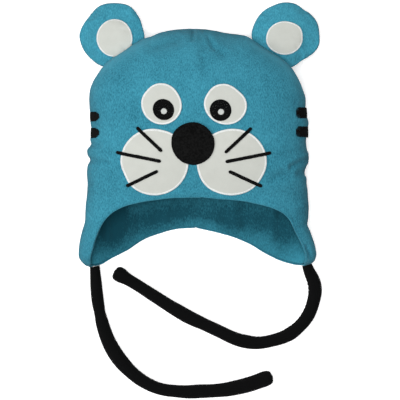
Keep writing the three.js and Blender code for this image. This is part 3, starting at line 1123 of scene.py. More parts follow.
@dataclass
class Layer:
    """A layer of the hat, as three panels that stand for its CAD nodes."""

    material: bpy.types.Material
    node: str
    slot: Slot
    depth: float
    thickness: float
    inset: float
    columns: int
    crown_rows: int
    rim_rows: int
    back_hem_up: float = 0.3 * MM
    seam_shift: float = 0.0
    seam_roll: float = 2.4 * MM
    ruffle: float = 0.3 * MM
    plush: float = 0.13 * MM
    rim_steps: int = 7
    form: HatForm = HatForm()
    lie: Lie = Lie()

    def faces(self, panel: Panel, sunk: np.ndarray, plush: np.ndarray) -> tuple[np.ndarray, np.ndarray]:
        """How far the outer and the inner face lie below the layer's plain face."""
        raise NotImplementedError

    def shade(self, panel: Panel) -> np.ndarray:
        """Painted shade at each point, beside that of its folds, and painted light where it is below 0."""
        raise NotImplementedError

    def build(self, side: Side) -> bpy.types.Object:
        """Make one panel as a closed wall with a rolled rim and rolled seam edges.

        Args:
            side: The panel.

        Returns:
            The piece.
        """
        panel = self.panel(side)
        ruffle = self.ruffle * SoftNoise(5, 8 * MM)(panel.points) * np.exp(-panel.rim / (7 * MM))
        sunk = panel.folds + (ruffle if side is Side.FRONT else np.abs(ruffle))
        plush = self.plush * SoftNoise(12, 3.4 * MM)(panel.points)
        sinks = np.stack(self.faces(panel, sunk, plush))
        faces = panel.lying + panel.inward * (self.depth + sinks)[..., None]
        faces[..., 2] = np.maximum(faces[..., 2], FLOOR_CLEARANCE)
        piece = self.wall(f"{self.node}_{side.value}_cloth", *faces)
        # Painted shade where the cloth sinks in its creases and waves, added to the layer's own painted
        # shade and light.
        shade = 0.3 * np.clip(panel.folds / (1.2 * MM), 0, 0.5) + self.shade(panel)
        self.colour(piece, faces, shade)
        return hand_over(piece, self.slot, f"{self.node}_{side.value}")

    def panel(self, side: Side) -> Panel:
        """Read a panel off the hat's form.

        Args:
            side: Which panel.

        Returns:
            The panel.
        """
        angle, drop = self.places(side)
        if side is Side.FRONT:
            apart = GAP * UP
        else:
            half = SEAM_GAP / 2 if side is Side.BACK_RIGHT else -SEAM_GAP / 2
            apart = np.array([half + self.seam_shift, 0, 0])
        points = self.form.surface(angle, drop) + apart
        along_row = run_along(points, axis=1)
        seam = np.minimum(along_row, along_row[:, -1:] - along_row)
        on_tube = np.clip((drop + self.form.arc * 0.75) / (self.form.arc * 0.25), 0, 1)
        from_seam = np.clip(seam / self.seam_roll, 0, 1)
        return Panel(
            side=side,
            points=points,
            lying=self.lie.shifted(points, angle),
            inward=self.form.inward(angle, drop),
            seam=seam,
            rim=run_along(points[::-1])[::-1],
            on_tube=on_tube,
            rolled=(1 - np.sqrt(1 - (1 - from_seam) ** 2)) * on_tube,
            folds=self.lie.sink(points, side is Side.FRONT),
        )

    def places(self, side: Side) -> tuple[np.ndarray, np.ndarray]:
        """Angles and drops of a panel's points.

        Args:
            side: The panel.

        Returns:
            The angles and the drops, in rows from the crown's top to the rim.
        """
        if side is Side.FRONT:
            crown = np.linspace(-90, 90, self.columns)
            on_left = (crown < 0)[:, None]
            read = np.where(on_left, smooth_read(FRONT_LEFT, -crown), smooth_read(FRONT_RIGHT, crown))
            rim, low = read[:, 0] * np.sign(crown), read[:, 1]
            hem_up = smooth_read(FRONT_RIM_UP, crown)[:, 0] * MM
        else:
            sign = -1 if side is Side.BACK_LEFT else 1
            off = np.linspace(0, 90, self.columns // 2 + 1)[::-sign]
            rim, low = np.moveaxis(smooth_read(BACK_LEFT if sign < 0 else BACK_RIGHT, off), -1, 0)
            crown, rim = sign * (180 - off), sign * (180 - rim)
            hem_up = self.back_hem_up * np.cos(np.radians(crown)) ** 2
        length = self.form.brow_y - low
        down = np.linspace(0, 1, self.rim_rows + 1)[1:, None]
        t = np.minimum(down, 1 - (self.inset + hem_up) / length)
        up = np.linspace(-self.form.arc, 0, self.crown_rows + 1)[:, None]
        angle = np.concatenate([crown * np.ones_like(up), crown + (rim - crown) * t])
        drop = np.concatenate([up * np.ones_like(crown), t * length])
        return angle, drop

    def wall(self, name: str, outer: np.ndarray, inner: np.ndarray) -> bpy.types.Object:
        """Close the two faces of a panel into a wall.

        Args:
            name: Name of the piece.
            outer: Points of the outer face.
            inner: Points of the inner face.

        Returns:
            The piece.
        """
        middle, half = (outer[-1] + inner[-1]) / 2, (outer[-1] - inner[-1]) / 2
        onward = unit(outer[-1] - outer[-2]) * np.linalg.norm(half, axis=-1, keepdims=True)
        turns = np.linspace(0, math.pi, self.rim_steps + 2)[1:-1, None, None]
        rolled = middle + half * np.cos(turns) + onward * np.sin(turns)
        plan = MeshPlan()
        around = plan.lay(np.concatenate([outer, rolled, inner[::-1]]))
        plan.quads(around)
        rows = len(outer)
        for column, flip in ((0, False), (-1, True)):
            ends = np.stack([around[:rows, column], around[::-1, column][:rows]], axis=1)
            plan.quads(ends, flip=not flip)
            cap = around[rows - 1 : rows + self.rim_steps + 1, column].tolist()
            plan.faces.append(cap[::-1] if not flip else cap)
        piece = plan.make(name, self.material)
        piece.data.set_sharp_from_angle(angle=math.radians(60))
        return piece

    def colour(self, piece: bpy.types.Object, faces: np.ndarray, shade: np.ndarray) -> None:
        """Store the painted shade of each point for the finish, found by the point's place.

        Args:
            piece: The panel.
            faces: Points of its outer and its inner face.
            shade: Painted shade of both, below 0 where light is painted.
        """
        grain = 0.02 * MM
        keys = np.round(faces.reshape(-1, 3) / grain).astype(int)
        shades = np.tile(shade.ravel(), 2)
        known = dict(zip(map(tuple, keys.tolist()), shades.tolist()))
        mine = np.round(points_of(piece) / grain).astype(int)
        set_numbers(piece, "painted_shade", np.array([known.get(key, 0.0) for key in map(tuple, mine.tolist())]))


@dataclass
class Shell(Layer):
    """The outer layer, with grooves at its seams and hems that swell a little."""

    node: str = "shell"
    slot: Slot = Slot.BLUE_FLEECE
    depth: float = 0.0
    thickness: float = 2.0 * MM
    inset: float = 0.0
    columns: int = 190
    crown_rows: int = 60
    rim_rows: int = 92
    groove: float = 0.9 * MM
    swell: float = 0.45 * MM
    ear_out: float = 86 * MM
    ear_y: float = 98 * MM

    def faces(self, panel: Panel, sunk: np.ndarray, plush: np.ndarray) -> tuple[np.ndarray, np.ndarray]:
        """How far the outer and the inner face lie below the plain form.

        Args:
            panel: The panel.
            sunk: Depth of its folds.
            plush: Relief of its pile.

        Returns:
            The depths of the outer and of the inner face.
        """
        hem = np.sin(math.pi * part_way(panel.rim, 0, 9))
        return sunk + self.groove * panel.rolled - self.swell * hem + plush, sunk + self.thickness

    def shade(self, panel: Panel) -> np.ndarray:
        """Painted shade in the seam grooves, on the rims and on the flanks, and painted light on the crown's
        edge.
        """
        return 0.3 * panel.rolled + self.rim_shade(panel) + self.flank_shade(panel) - self.painted_edge_light(panel)

    def rim_shade(self, panel: Panel) -> np.ndarray:
        """Painted shade on the back's rolled rim, and where the front's rim turns in beside a flap.

        Args:
            panel: The panel.

        Returns:
            Painted shade from 0 to 1.
        """
        if panel.side is not Side.FRONT:
            return 0.6 * bell(panel.rim, 2.2 * MM)
        low = part_way(panel.lying[..., 1], -70, -22)
        strength = np.where(panel.lying[..., 0] < 0, 0.16, 0.14)
        return strength * low * bell(panel.rim, 6.5 * MM)

    def flank_shade(self, panel: Panel) -> np.ndarray:
        """Painted shade on the front's flanks, which turn away from the light, and in a crease on the right
        flank.

        Args:
            panel: The panel.

        Returns:
            Painted shade from 0 to 1.
        """
        if panel.side is not Side.FRONT:
            return np.zeros(panel.rim.shape)
        x, y = panel.lying[..., 0], panel.lying[..., 1]
        right = 0.10 * ramp(x, 45, 35) * ramp(y, -105, 20)
        left = 0.11 * ramp(x, -50, -30) * ramp(y, -5, 35)
        painted_shade = 0.10 * ramp(x, 90, 7) * bell(y + 79 * MM, 12 * MM)
        return right + left + painted_shade

    def painted_edge_light(self, panel: Panel) -> np.ndarray:
        """Painted light on the crown's steep edge and by the ears, where the cloth turns away from the light
        and lies in the ears' shadow.

        Args:
            panel: The panel.

        Returns:
            How much painted light, from 0 to 1.
        """
        x, y = panel.lying[..., 0], panel.lying[..., 1]
        steep = eased((0.88 - np.abs(panel.inward[..., 2])) / 0.58)
        beside = 0.34 * ramp(np.abs(x), 25, 40)
        right = 0.22 * ramp(x, 40, 20)
        from_ear = np.hypot(np.abs(x) - self.ear_out, y - self.ear_y)
        at_ear = 0.40 * ramp(from_ear, 48, -16)
        return (0.10 + beside + right + at_ear) * steep * ramp(y, 20, 30)


@dataclass
class Lining(Layer):
    """The layer inside the shell, which stands off in soft folds at the back."""

    node: str = "lining"
    slot: Slot = Slot.LINING_FLEECE
    depth: float = 2.3 * MM
    thickness: float = 1.8 * MM
    inset: float = 1.5 * MM
    columns: int = 130
    crown_rows: int = 30
    rim_rows: int = 70
    seam_shift: float = 0.4 * MM
    ridge: float = 0.35 * MM

    def faces(self, panel: Panel, sunk: np.ndarray, plush: np.ndarray) -> tuple[np.ndarray, np.ndarray]:
        """How far the outer and the inner face lie below the layer's plain face.

        Args:
            panel: The panel.
            sunk: Depth of the folds it shares with the shell.
            plush: Relief of its pile.

        Returns:
            The depths of the outer and of the inner face.
        """
        off = sunk + self.stand_off(panel)
        seam_allowance = self.ridge * bell(panel.seam - 3.6 * MM, 2.2 * MM) * panel.on_tube
        return off, off + self.thickness + seam_allowance - plush

    def stand_off(self, panel: Panel) -> np.ndarray:
        """Folds that only the lining has, where it stands off towards the inside.

        Args:
            panel: The panel.

        Returns:
            How far each point stands off.
        """
        if panel.side is Side.FRONT:
            return np.zeros(panel.rim.shape)
        folds = -sum(crease.sink(panel.points) for crease in LINING_CREASES)
        waves = SoftNoise(8, 17 * MM)(panel.points * np.array([1, 0.45, 1]))
        return np.maximum(folds + 0.55 * MM * waves + 0.4 * MM, 0)

    def shade(self, panel: Panel) -> np.ndarray:
        """Painted shade deep inside and at the seams, and painted light at the hem, in the flaps' tips and
        below the front's rim.

        Args:
            panel: The panel.

        Returns:
            Painted shade, below 0 where light is painted.
        """
        x, y, rim = panel.lying[..., 0] - self.form.centre_x, panel.lying[..., 1], panel.rim
        far = np.abs(x)
        beside = ramp(far, 30, 50)
        deep = ramp(rim, 0, 13 + 17 * beside)
        corner = bell(far - 84 * MM, 16 * MM) * part_way(rim, 0, 18)
        painted_shade = bell(x - 34 * MM, 14 * MM)
        hem = ramp(x, 25, 35) * ramp(rim, 20, -20)
        tip = part_way(far, 86, 14) * part_way(y, -98, -12)
        front_rim = FRONT_RIM_Y - x * x / FRONT_RIM_BOW
        band = bell(y - front_rim, 8.5 * MM) * ramp(far, 80, -14)
        lit = 0.40 - 0.14 * ramp(x, 25, 30) - 0.12 * ramp(x, -35, 35)
        # Painted shade deep inside, in the corners and at a crease; painted light at the hem, in the tips
        # and in a band below the front's rim.
        darker = 0.38 * deep + 0.08 * (1 - beside) + np.where(x < 0, 0.34, 0.12) * corner + 0.08 * painted_shade
        lighter = 0.12 * hem + np.where(x < 0, 0.16, 0.30) * tip + lit * band
        return darker - lighter + 0.03 * panel.rolled


# Stitches


class StitchRow:
    """Places for stitches, gathered from lines and fills."""

    def __init__(self) -> None:
        """Start with none."""
        self.places: list[np.ndarray] = []
        self.across: list[np.ndarray] = []
        self.up: list[np.ndarray] = []
        self.reach: list[np.ndarray] = []

    def add(self, places: np.ndarray, across: np.ndarray, up: np.ndarray, reach: np.ndarray | float) -> None:
        """Add stitches.

        Args:
            places: Middle of each stitch.
            across: Direction that it runs in.
            up: Direction away from the cloth.
            reach: Its length.
        """
        keep = ~np.isnan(places).any(axis=-1)
        self.places.append(places[keep])
        self.across.append(across[keep])
        self.up.append(up[keep])
        self.reach.append(np.broadcast_to(reach, places.shape[:-1])[keep])

    def sew(self, name: str, thread: "SatinThread", material: bpy.types.Material) -> bpy.types.Object:
        """Turn the places into threads.

        Args:
            name: Name of the piece.
            thread: The kind of thread.
            material: Its finish.

        Returns:
            The piece.
        """
        mesh = bpy.data.meshes.new(name)
        mesh.from_pydata(np.concatenate(self.places).tolist(), [], [])
        for key, values in (("across", self.across), ("up", self.up)):
            attribute = mesh.attributes.new(key, "FLOAT_VECTOR", "POINT")
            attribute.data.foreach_set("vector", np.concatenate(values).astype(np.float32).ravel())
        piece = place(name, mesh)
        set_numbers(piece, "reach", np.concatenate(self.reach))
        return thread.apply(piece, material)


@dataclass
class SatinThread:
    """Geometry Nodes that lay one arched thread on each point."""

    width: float = 0.52 * MM
    arch: float = 0.28 * MM
    wander: float = 0.07
    seed: int = 7

    def __post_init__(self) -> None:
        """Build the tree."""
        self.tree = bpy.data.node_groups.new("satin_thread", "GeometryNodeTree")
        kinds = {"Geometry": "Geometry", "Width": "Float", "Arch": "Float", "Wander": "Float", "Seed": "Int"}
        for label, kind in {**kinds, "Finish": "Material"}.items():
            self.tree.interface.new_socket(label, in_out="INPUT", socket_type=f"NodeSocket{kind}")
        self.tree.interface.new_socket("Geometry", in_out="OUTPUT", socket_type="NodeSocketGeometry")
        nodes = self.nodes = Nodes(self.tree)
        self.given = nodes.add("NodeGroupInput").outputs
        placing = {
            "Points": self.given["Geometry"],
            "Instance": self._strand(),
            "Rotation": self._turn(),
            "Scale": self._scale(),
        }
        placed = nodes.add("GeometryNodeInstanceOnPoints", None, placing)
        toned = nodes.add(
            "GeometryNodeStoreNamedAttribute",
            {"data_type": "FLOAT", "domain": "INSTANCE"},
            {"Geometry": placed.outputs[0], "Name": "tone", "Value": self._random(0.0, 1.0, 3)},
        )
        real = nodes.add("GeometryNodeRealizeInstances", None, {0: toned.outputs[0]})
        smooth = nodes.add("GeometryNodeSetShadeSmooth", None, {0: real.outputs[0]})
        finish = {0: smooth.outputs[0], "Material": self.given["Finish"]}
        dressed = nodes.add("GeometryNodeSetMaterial", None, finish)
        nodes.add("NodeGroupOutput", None, {0: dressed.outputs[0]})

    def _random(self, low: object, high: object, shift: int) -> bpy.types.NodeSocket:
        """A random number for each stitch.

        Args:
            low: Lowest value.
            high: Highest value.
            shift: Added to the seed.

        Returns:
            The number's socket.
        """
        values = {2: low, 3: high, "Seed": Signal(self.nodes, self.given["Seed"]) + shift}
        return self.nodes.add("FunctionNodeRandomValue", {"data_type": "FLOAT"}, values).outputs[1]

    def _strand(self) -> bpy.types.NodeSocket:
        """One strand of length 1 along X, arched upwards.

        Returns:
            The strand's mesh.
        """
        nodes = self.nodes
        line = nodes.add("GeometryNodeCurvePrimitiveLine", None, {"Start": (-0.5, 0, 0), "End": (0.5, 0, 0)})
        points = nodes.add("GeometryNodeResampleCurve", None, {"Curve": line.outputs[0], "Count": 5})
        where = nodes.add("GeometryNodeInputPosition").outputs[0]
        x = Signal(nodes, nodes.add("ShaderNodeSeparateXYZ", None, {0: where}).outputs[0])
        height = (1 - (2 * x) ** 2) * Signal(nodes, self.given["Arch"])
        lift = nodes.add("ShaderNodeCombineXYZ", None, {"Z": height}).outputs[0]
        arched = nodes.add("GeometryNodeSetPosition", None, {"Geometry": points.outputs[0], "Offset": lift})
        radius = Signal(nodes, self.given["Width"]) * 0.5
        ring = nodes.add("GeometryNodeCurvePrimitiveCircle", None, {"Resolution": 4, "Radius": radius})
        sweep = {"Curve": arched.outputs[0], "Profile Curve": ring.outputs[0], "Fill Caps": True}
        return nodes.add("GeometryNodeCurveToMesh", None, sweep).outputs[0]

    def _turn(self) -> bpy.types.NodeSocket:
        """Rotation that lays a strand along its direction, a little astray.

        Returns:
            The rotation's socket.
        """
        nodes = self.nodes
        axes = nodes.add(
            "FunctionNodeAxesToRotation",
            {"primary_axis": "Z", "secondary_axis": "X"},
            {"Primary Axis": nodes.carried("up"), "Secondary Axis": nodes.carried("across")},
        )
        wander = Signal(nodes, self.given["Wander"])
        astray = self._random(wander * -1.0, wander, 0)
        euler = nodes.add("ShaderNodeCombineXYZ", None, {"Z": astray}).outputs[0]
        turned = nodes.add("FunctionNodeEulerToRotation", None, {0: euler}).outputs[0]
        both = {"Rotation": axes.outputs[0], "Rotate By": turned}
        return nodes.add("FunctionNodeRotateRotation", {"rotation_space": "LOCAL"}, both).outputs[0]

    def _scale(self) -> bpy.types.NodeSocket:
        """Scale of each strand: its length along X, and a little spread in its thickness.

        Returns:
            The scale's socket.
        """
        spread = Signal(self.nodes, self._random(0.94, 1.06, 1))
        thick = self._random(0.85, 1.12, 2)
        reach = Signal(self.nodes, self.nodes.carried("reach", "FLOAT"))
        values = {"X": reach * spread, "Y": thick, "Z": thick}
        return self.nodes.add("ShaderNodeCombineXYZ", None, values).outputs[0]

    def apply(self, piece: bpy.types.Object, material: bpy.types.Material) -> bpy.types.Object:
        """Grow the threads on a piece's points and keep them as its plain mesh.

        Args:
            piece: The points.
            material: Finish of the thread.

        Returns:
            The same object.
        """
        values = {"Width": self.width, "Arch": self.arch, "Wander": self.wander, "Seed": self.seed}
        values["Finish"] = material
        modifier = piece.modifiers.new("threads", "NODES")
        modifier.node_group = self.tree
        for item in self.tree.interface.items_tree:
            if item.in_out == "INPUT" and item.name in values:
                modifier[item.identifier] = values[item.name]
        bake(piece)
        piece.data.name = piece.name
        return piece


# Felt shapes and embroidery


@dataclass(frozen=True)
class Outline:
    """A rounded outline seen from above: an ellipse that may lean and have flatter places."""

    x: float
    y: float
    across: float
    along: float
    lean: float = 0.0
    flats: Bumps = ()

    def at(
        self,
        turn: np.ndarray,
        out: np.ndarray | float = 1.0,
        inside: float = 0.0,
    ) -> tuple[np.ndarray, np.ndarray]:
        """Places of the shape.

        Args:
            turn: Directions from the centre, in radians.
            out: Share of the way to the outline.
            inside: Distance that the outline is drawn in.

        Returns:
            The places across and along.
        """
        scale = 1 - bumps_round(turn, self.flats)
        right = (self.across * scale - inside) * out * np.cos(turn)
        up = (self.along * scale - inside) * out * np.sin(turn)
        return self.x + right + self.lean * up, self.y + up


@dataclass
class Sewn:
    """Something that is sewn to a finished piece with satin thread."""

    ground: Ground
    satin: SatinThread

    def sew(self, row: StitchRow, name: str, thread: bpy.types.Material, slot: Slot, *nodes: str) -> None:
        """Sew a row of stitches as a piece and give it to the frame."""
        hand_over(row.sew(name, self.satin, thread), slot, *nodes)


@dataclass
class FeltShape(Sewn):
    """A felt shape that is sewn down by a satin border."""

    node: str
    outline: Outline
    trim: Trim
    border: float
    lift: float = 0.35 * MM
    thickness: float = 1.0 * MM
    pitch: float = 0.42 * MM
    sectors: int = 96
    rings: int = 14
    under: Callable[[float, float], bool] | None = None

    def build(self) -> None:
        """Make the felt and its border."""
        turn = np.linspace(0, 2 * math.pi, self.sectors, endpoint=False)
        reach = self.reach(turn)
        out = np.sin(np.linspace(0, math.pi / 2, self.rings + 1))[:, None] * reach
        x, y = self.outline.at(np.broadcast_to(turn, out.shape), out)
        places, up = self.ground.rest(x, y)
        edge = np.clip((reach - out) * self.outline.across / self.border, 0, 1)
        fall = np.sqrt(1 - (1 - edge) ** 2)
        plan = MeshPlan()
        upper = plan.lay(places + up * (self.lift + self.thickness * (0.45 + 0.55 * fall))[..., None])
        lower = plan.lay(places + up * self.lift)
        plan.quads(upper, ring=True)
        plan.quads(lower, flip=True, ring=True)
        plan.quads(np.stack([upper[-1], lower[-1]]), ring=True)
        hand_over(plan.make(f"{self.node}_felt", self.trim.felt), self.trim.felt_slot, self.node)
        self.edge()

    def reach(self, turn: np.ndarray) -> np.ndarray:
        """How far the shape lies free of what covers it.

        Args:
            turn: Directions from its centre, in radians.

        Returns:
            Share of the way to the outline in each direction.
        """
        free = np.ones_like(turn)
        if self.under is None:
            return free
        for i, angle in enumerate(turn):
            low, high = 0.0, 1.0
            for _ in range(9):
                share = (low + high) / 2
                x, y = self.outline.at(np.array([angle]), share)
                if self.under(float(x[0]), float(y[0])):
                    high = share
                else:
                    low = share
            free[i] = 1.0 if low > 0.995 else low
        return free

    def edge(self) -> None:
        """Make the satin border."""
        around = math.pi * (self.outline.across + self.outline.along)
        turn = np.linspace(0, 2 * math.pi, int(around / self.pitch), endpoint=False)
        x, y = self.outline.at(turn, 1.0, self.border * 0.52)
        far_x, far_y = self.outline.at(turn, 1.0, -self.border)
        places, up = self.ground.rest(x, y)
        if self.under is not None:
            covered = [self.under(float(a), float(b)) for a, b in zip(far_x, far_y)]
            places[np.array(covered)] = math.nan
        outward = np.stack([far_x - x, far_y - y, np.zeros_like(x)], axis=-1)
        row = StitchRow()
        row.add(places + up * (self.lift + self.thickness * 0.72), laid(outward, up), up, self.border)
        self.sew(row, f"{self.node}_border", self.trim.thread, self.trim.thread_slot)


@dataclass
class Bar(Sewn):
    """A satin bar with round ends, whose height above the ground is read from its places."""

    node: str
    start: Place
    end: Place
    width: float
    thread: bpy.types.Material
    height: Heights
    pitch: float = 0.40 * MM

    def build(self) -> None:
        """Make the bar."""
        run = np.subtract(self.end, self.start)
        length = float(np.linalg.norm(run))
        along = np.arange(self.pitch / 2, length, self.pitch)
        x = self.start[0] + run[0] * along / length
        y = self.start[1] + run[1] * along / length
        places, up = self.ground.rest(x, y)
        across = laid(np.array([-run[1], run[0], 0.0]), up)
        half = self.width / 2
        to_end = np.minimum(np.minimum(along, length - along), half)
        reach = self.width * np.sqrt(np.clip(1 - (1 - to_end / half) ** 2, 0.25, 1))
        row = StitchRow()
        row.add(places + up * self.height(x, y)[:, None], across, up, reach)
        self.sew(row, f"{self.node}_satin", self.thread, Slot.BLACK_THREAD, self.node)


@dataclass
class Stripe(Sewn):
    """A broad black bar that runs round the side into the seam, from and to an angle."""

    node: str
    sign: int
    y: float
    width: float
    rounding: float
    inner: float
    thread: bpy.types.Material
    outer: float = 88.8
    pitch: float = 0.42 * MM
    lift: float = 0.7 * MM
    form: HatForm = HatForm()
    lie: Lie = Lie()

    def build(self) -> None:
        """Make the stripe."""
        angle = self.sign * np.linspace(self.inner, self.outer, 400)
        drop = np.full_like(angle, self.form.brow_y - self.y)
        run = run_along(self.form.surface(angle, drop))
        along = np.arange(0.5 * self.pitch, run[-1], self.pitch)
        angle, drop = np.interp(along, run, angle), drop[: len(along)]
        plain = self.form.surface(angle, drop) + GAP * UP
        places = self.ground.nearest(self.lie.shifted(plain, angle))
        up = -self.form.inward(angle, drop)
        across = unit(np.cross(up, unit(np.gradient(places, axis=0))))
        to_end = np.clip(along / (self.width * self.rounding), 0, 1)
        reach = self.width * np.sqrt(np.clip(1 - (1 - to_end) ** 2, 0.2, 1))
        lift = self.lift * (1 - 0.75 * part_way(along - run[-1], -6, 6))
        row = StitchRow()
        row.add(places + up * lift[:, None], across, up, reach)
        self.sew(row, f"{self.node}_satin", self.thread, Slot.BLACK_THREAD, self.node)


@dataclass
class Pupil(Sewn):
    """An embroidered black disc with a white dot, on the white of an eye."""

    side: str
    x: float
    y: float
    radius: float
    lean: float
    black: bpy.types.Material
    white: bpy.types.Material
    glint_radius: float = 2.85 * MM
    glint_offset: Place = (0.4 * MM, -1.7 * MM)
    height: float = 1.6 * MM
    pitch: float = 0.42 * MM
    stitch: float = 3.4 * MM
    border: float = 1.5 * MM

    def build(self) -> None:
        """Make the disc, with a gap for the dot, and the dot."""
        across, along = self.glint_offset
        disc, dot = StitchRow(), StitchRow()
        rows = np.arange(-self.radius + self.pitch, self.radius - self.pitch / 2, self.pitch)
        for number, level in enumerate(rows):
            half = math.sqrt(self.radius**2 - level**2)
            start, end = self.lean * level - half, self.lean * level + half
            gap = math.sqrt(max(self.glint_radius**2 - (level - along) ** 2, 0))
            parts = [(start, across - gap), (across + gap, end)] if gap else [(start, end)]
            for part in parts:
                self.fill(disc, part, level, number)
        for level in np.arange(-self.glint_radius + self.pitch / 2, self.glint_radius, self.pitch):
            half = math.sqrt(self.glint_radius**2 - level**2)
            places, up = self.ground.rest(np.array([self.x + across + level]), np.array([self.y + along]))
            dot.add(places + up * self.height * 1.06, np.array([[0.0, 1.0, 0.0]]), up, 2 * half)
        self.rim(disc)
        pupil, glint = f"pupil_{self.side}", f"eye_glint_{self.side}"
        self.sew(disc, f"{pupil}_satin", self.black, Slot.BLACK_THREAD, pupil)
        self.sew(dot, f"{glint}_satin", self.white, Slot.WHITE_THREAD, glint)

    def fill(self, row: StitchRow, part: Place, level: float, number: int) -> None:
        """Fill a part of a row with stitches that are staggered from row to row.

        Args:
            row: Where the stitches go.
            part: Start and end of the part.
            level: Height of the row in the disc.
            number: Number of the row.
        """
        shift = (number % 3) / 3 * self.stitch
        cuts = np.arange(part[0] - shift, part[1] + self.stitch, self.stitch)
        cuts = np.unique(np.clip(cuts, *part))
        middles, lengths = (cuts[1:] + cuts[:-1]) / 2, np.diff(cuts)
        long_enough = lengths > 0.3 * MM
        x = self.x + middles[long_enough]
        if not len(x):
            return
        places, up = self.ground.rest(x, np.full_like(x, self.y + level))
        across = laid(np.array([1.0, 0.0, 0.0]), up)
        row.add(places + up * self.height, across, up, lengths[long_enough] * 1.06)

    def rim(self, row: StitchRow) -> None:
        """Add a narrow satin border.

        Args:
            row: Where the stitches go.
        """
        turn = np.linspace(0, 2 * math.pi, int(2 * math.pi * self.radius / self.pitch), endpoint=False)
        ring = self.radius - self.border / 2
        level = ring * np.sin(turn)
        places, up = self.ground.rest(self.x + ring * np.cos(turn) + self.lean * level, self.y + level)
        outward = np.stack([np.cos(turn), np.sin(turn), np.zeros_like(turn)], axis=-1)
        row.add(places + up * self.height * 1.04, laid(outward, up), up, self.border)


# Ears


@dataclass
class Ear:
    """A padded round ear, sewn into the crown seam, with bumps of its cut in millimetres."""

    side: str
    x: float
    y: float
    radius: float
    bumps: Bumps
    material: bpy.types.Material
    edge: float = 0.55 * MM
    padding: float = 2.9 * MM
    droop: float = 0.17
    base: float = 78 * MM
    cells: int = 36
    pressure: float = 4.0
    frames: int = 16
    most: float = 3.0 * MM
    hold: float = 6.0 * MM
    # Painted light over the whole ear, lifting its tone.
    painted_ear_light: float = 0.12
    form: HatForm = HatForm()

    def build(self, crown: bpy.types.Object) -> bpy.types.Object:
        """Sew, fill, smooth and trim the ear.

        Args:
            crown: Closed form of the crown, which the ear ends against.

        Returns:
            The piece.
        """
        ear = self.pillow()
        self.inflate(ear, Ground(crown))
        finer = ear.modifiers.new("finer", "SUBSURF")
        finer.levels = finer.render_levels = 1
        bake(ear)
        self.pucker(ear)
        trim = ear.modifiers.new("crown", "BOOLEAN")
        trim.object = crown
        trim.operation = "DIFFERENCE"
        trim.solver = "EXACT"
        bake(ear)
        ear.data.materials.clear()
        ear.data.materials.append(self.material)
        ear.data.shade_smooth()
        # Painted shade in the edge seam and painted light on the rest, stored for the fleece.
        set_numbers(ear, "painted_shade", self.shade(points_of(ear)))
        hand_over(ear, Slot.BLUE_FLEECE, f"ear_{self.side}")
        return ear

    def outline(self, turn: np.ndarray) -> np.ndarray:
        """Radius of the cut in each direction, in radians."""
        return self.radius + MM * bumps_round(turn, self.bumps)

    def middle(self, x: np.ndarray, y: np.ndarray) -> np.ndarray:
        """Height of the ear's middle, which falls away from the crown.

        Args:
            x: Places across.
            y: Places along.

        Returns:
            The heights there.
        """
        form = self.form
        away = np.array([self.x - form.centre_x, self.y - form.brow_y])
        along = ((x - form.centre_x) * away[0] + (y - form.brow_y) * away[1]) / np.linalg.norm(away)
        seam = form.seam_top + (form.seam_height - form.seam_top) * math.sqrt(0.5) + GAP / 2
        return seam - self.droop * np.maximum(along - self.base, 0)

    def pillow(self) -> bpy.types.Object:
        """Lay the ear's two layers, joined at the edge, on a square net pulled into a round.

        Returns:
            The flat ear.
        """
        u, v = np.meshgrid(*[np.linspace(-1, 1, self.cells + 1)] * 2, indexing="ij")
        out = np.maximum(np.abs(u), np.abs(v))
        steep = np.abs(u) >= np.abs(v)
        ratio = np.where(steep, v / np.where(u == 0, 1, u), u / np.where(v == 0, 1, v))
        turn = np.where(steep, math.pi / 4 * ratio, math.pi / 2 - math.pi / 4 * ratio)
        turn = turn + np.where(np.where(steep, u, v) < 0, math.pi, 0)
        reach = out * self.outline(turn)
        x, y = self.x + reach * np.cos(turn), self.y + reach * np.sin(turn)
        middle = self.middle(x, y)
        half = (self.edge + self.padding * (1 - out**3)) * np.sqrt(np.clip(1 - out**6, 0, 1))
        plan = MeshPlan()
        plan.quads(plan.lay(np.stack([x, y, middle + half], axis=-1)))
        plan.quads(plan.lay(np.stack([x, y, middle - half], axis=-1)), flip=True)
        return plan.make(f"ear_{self.side}_padded", self.material)

    def around(self, points: np.ndarray) -> tuple[np.ndarray, np.ndarray]:
        """Direction of some points from the ear's centre, and their share of the way to its edge."""
        turn = np.arctan2(points[:, 1] - self.y, points[:, 0] - self.x)
        return turn, np.hypot(points[:, 0] - self.x, points[:, 1] - self.y) / self.outline(turn)

    def inflate(self, ear: bpy.types.Object, crown: Ground) -> None:
        """Fill the ear with the padding's pressure, its seams held.

        Args:
            ear: The ear.
            crown: The crown's form, in which the ear's base is held.
        """
        rest = points_of(ear)
        _, out = self.around(rest)
        outward = unit(np.array([self.x - self.form.centre_x, self.y - self.form.brow_y])) * self.hold
        inside = np.array([math.isfinite(crown.height(x + outward[0], y + outward[1])) for x, y, _ in rest])
        group = ear.vertex_groups.new(name="held")
        group.add(np.flatnonzero((out > 0.985) | inside).tolist(), 1.0, "REPLACE")
        cloth = ear.modifiers.new("padding", "CLOTH")
        settings = {
            "quality": 6,
            "mass": 0.15,
            "tension_stiffness": 12,
            "compression_stiffness": 12,
            "bending_stiffness": 0.3,
            "use_pressure": True,
            "uniform_pressure_force": self.pressure,
            "shrink_min": -0.05,
            "vertex_group_mass": "held",
        }
        for name, value in settings.items():
            setattr(cloth.settings, name, value)
        cloth.settings.effector_weights.gravity = 0
        cloth.point_cache.frame_start, cloth.point_cache.frame_end = 1, self.frames
        for number in range(1, self.frames + 1):
            bpy.context.scene.frame_set(number)
        bake(ear)
        bpy.context.scene.frame_set(1)
        moved = points_of(ear) - rest
        far = np.linalg.norm(moved, axis=1, keepdims=True)
        moved *= np.minimum(1, self.most / np.maximum(far, 1e-9))
        ear.data.vertices.foreach_set("co", (rest + moved).ravel())

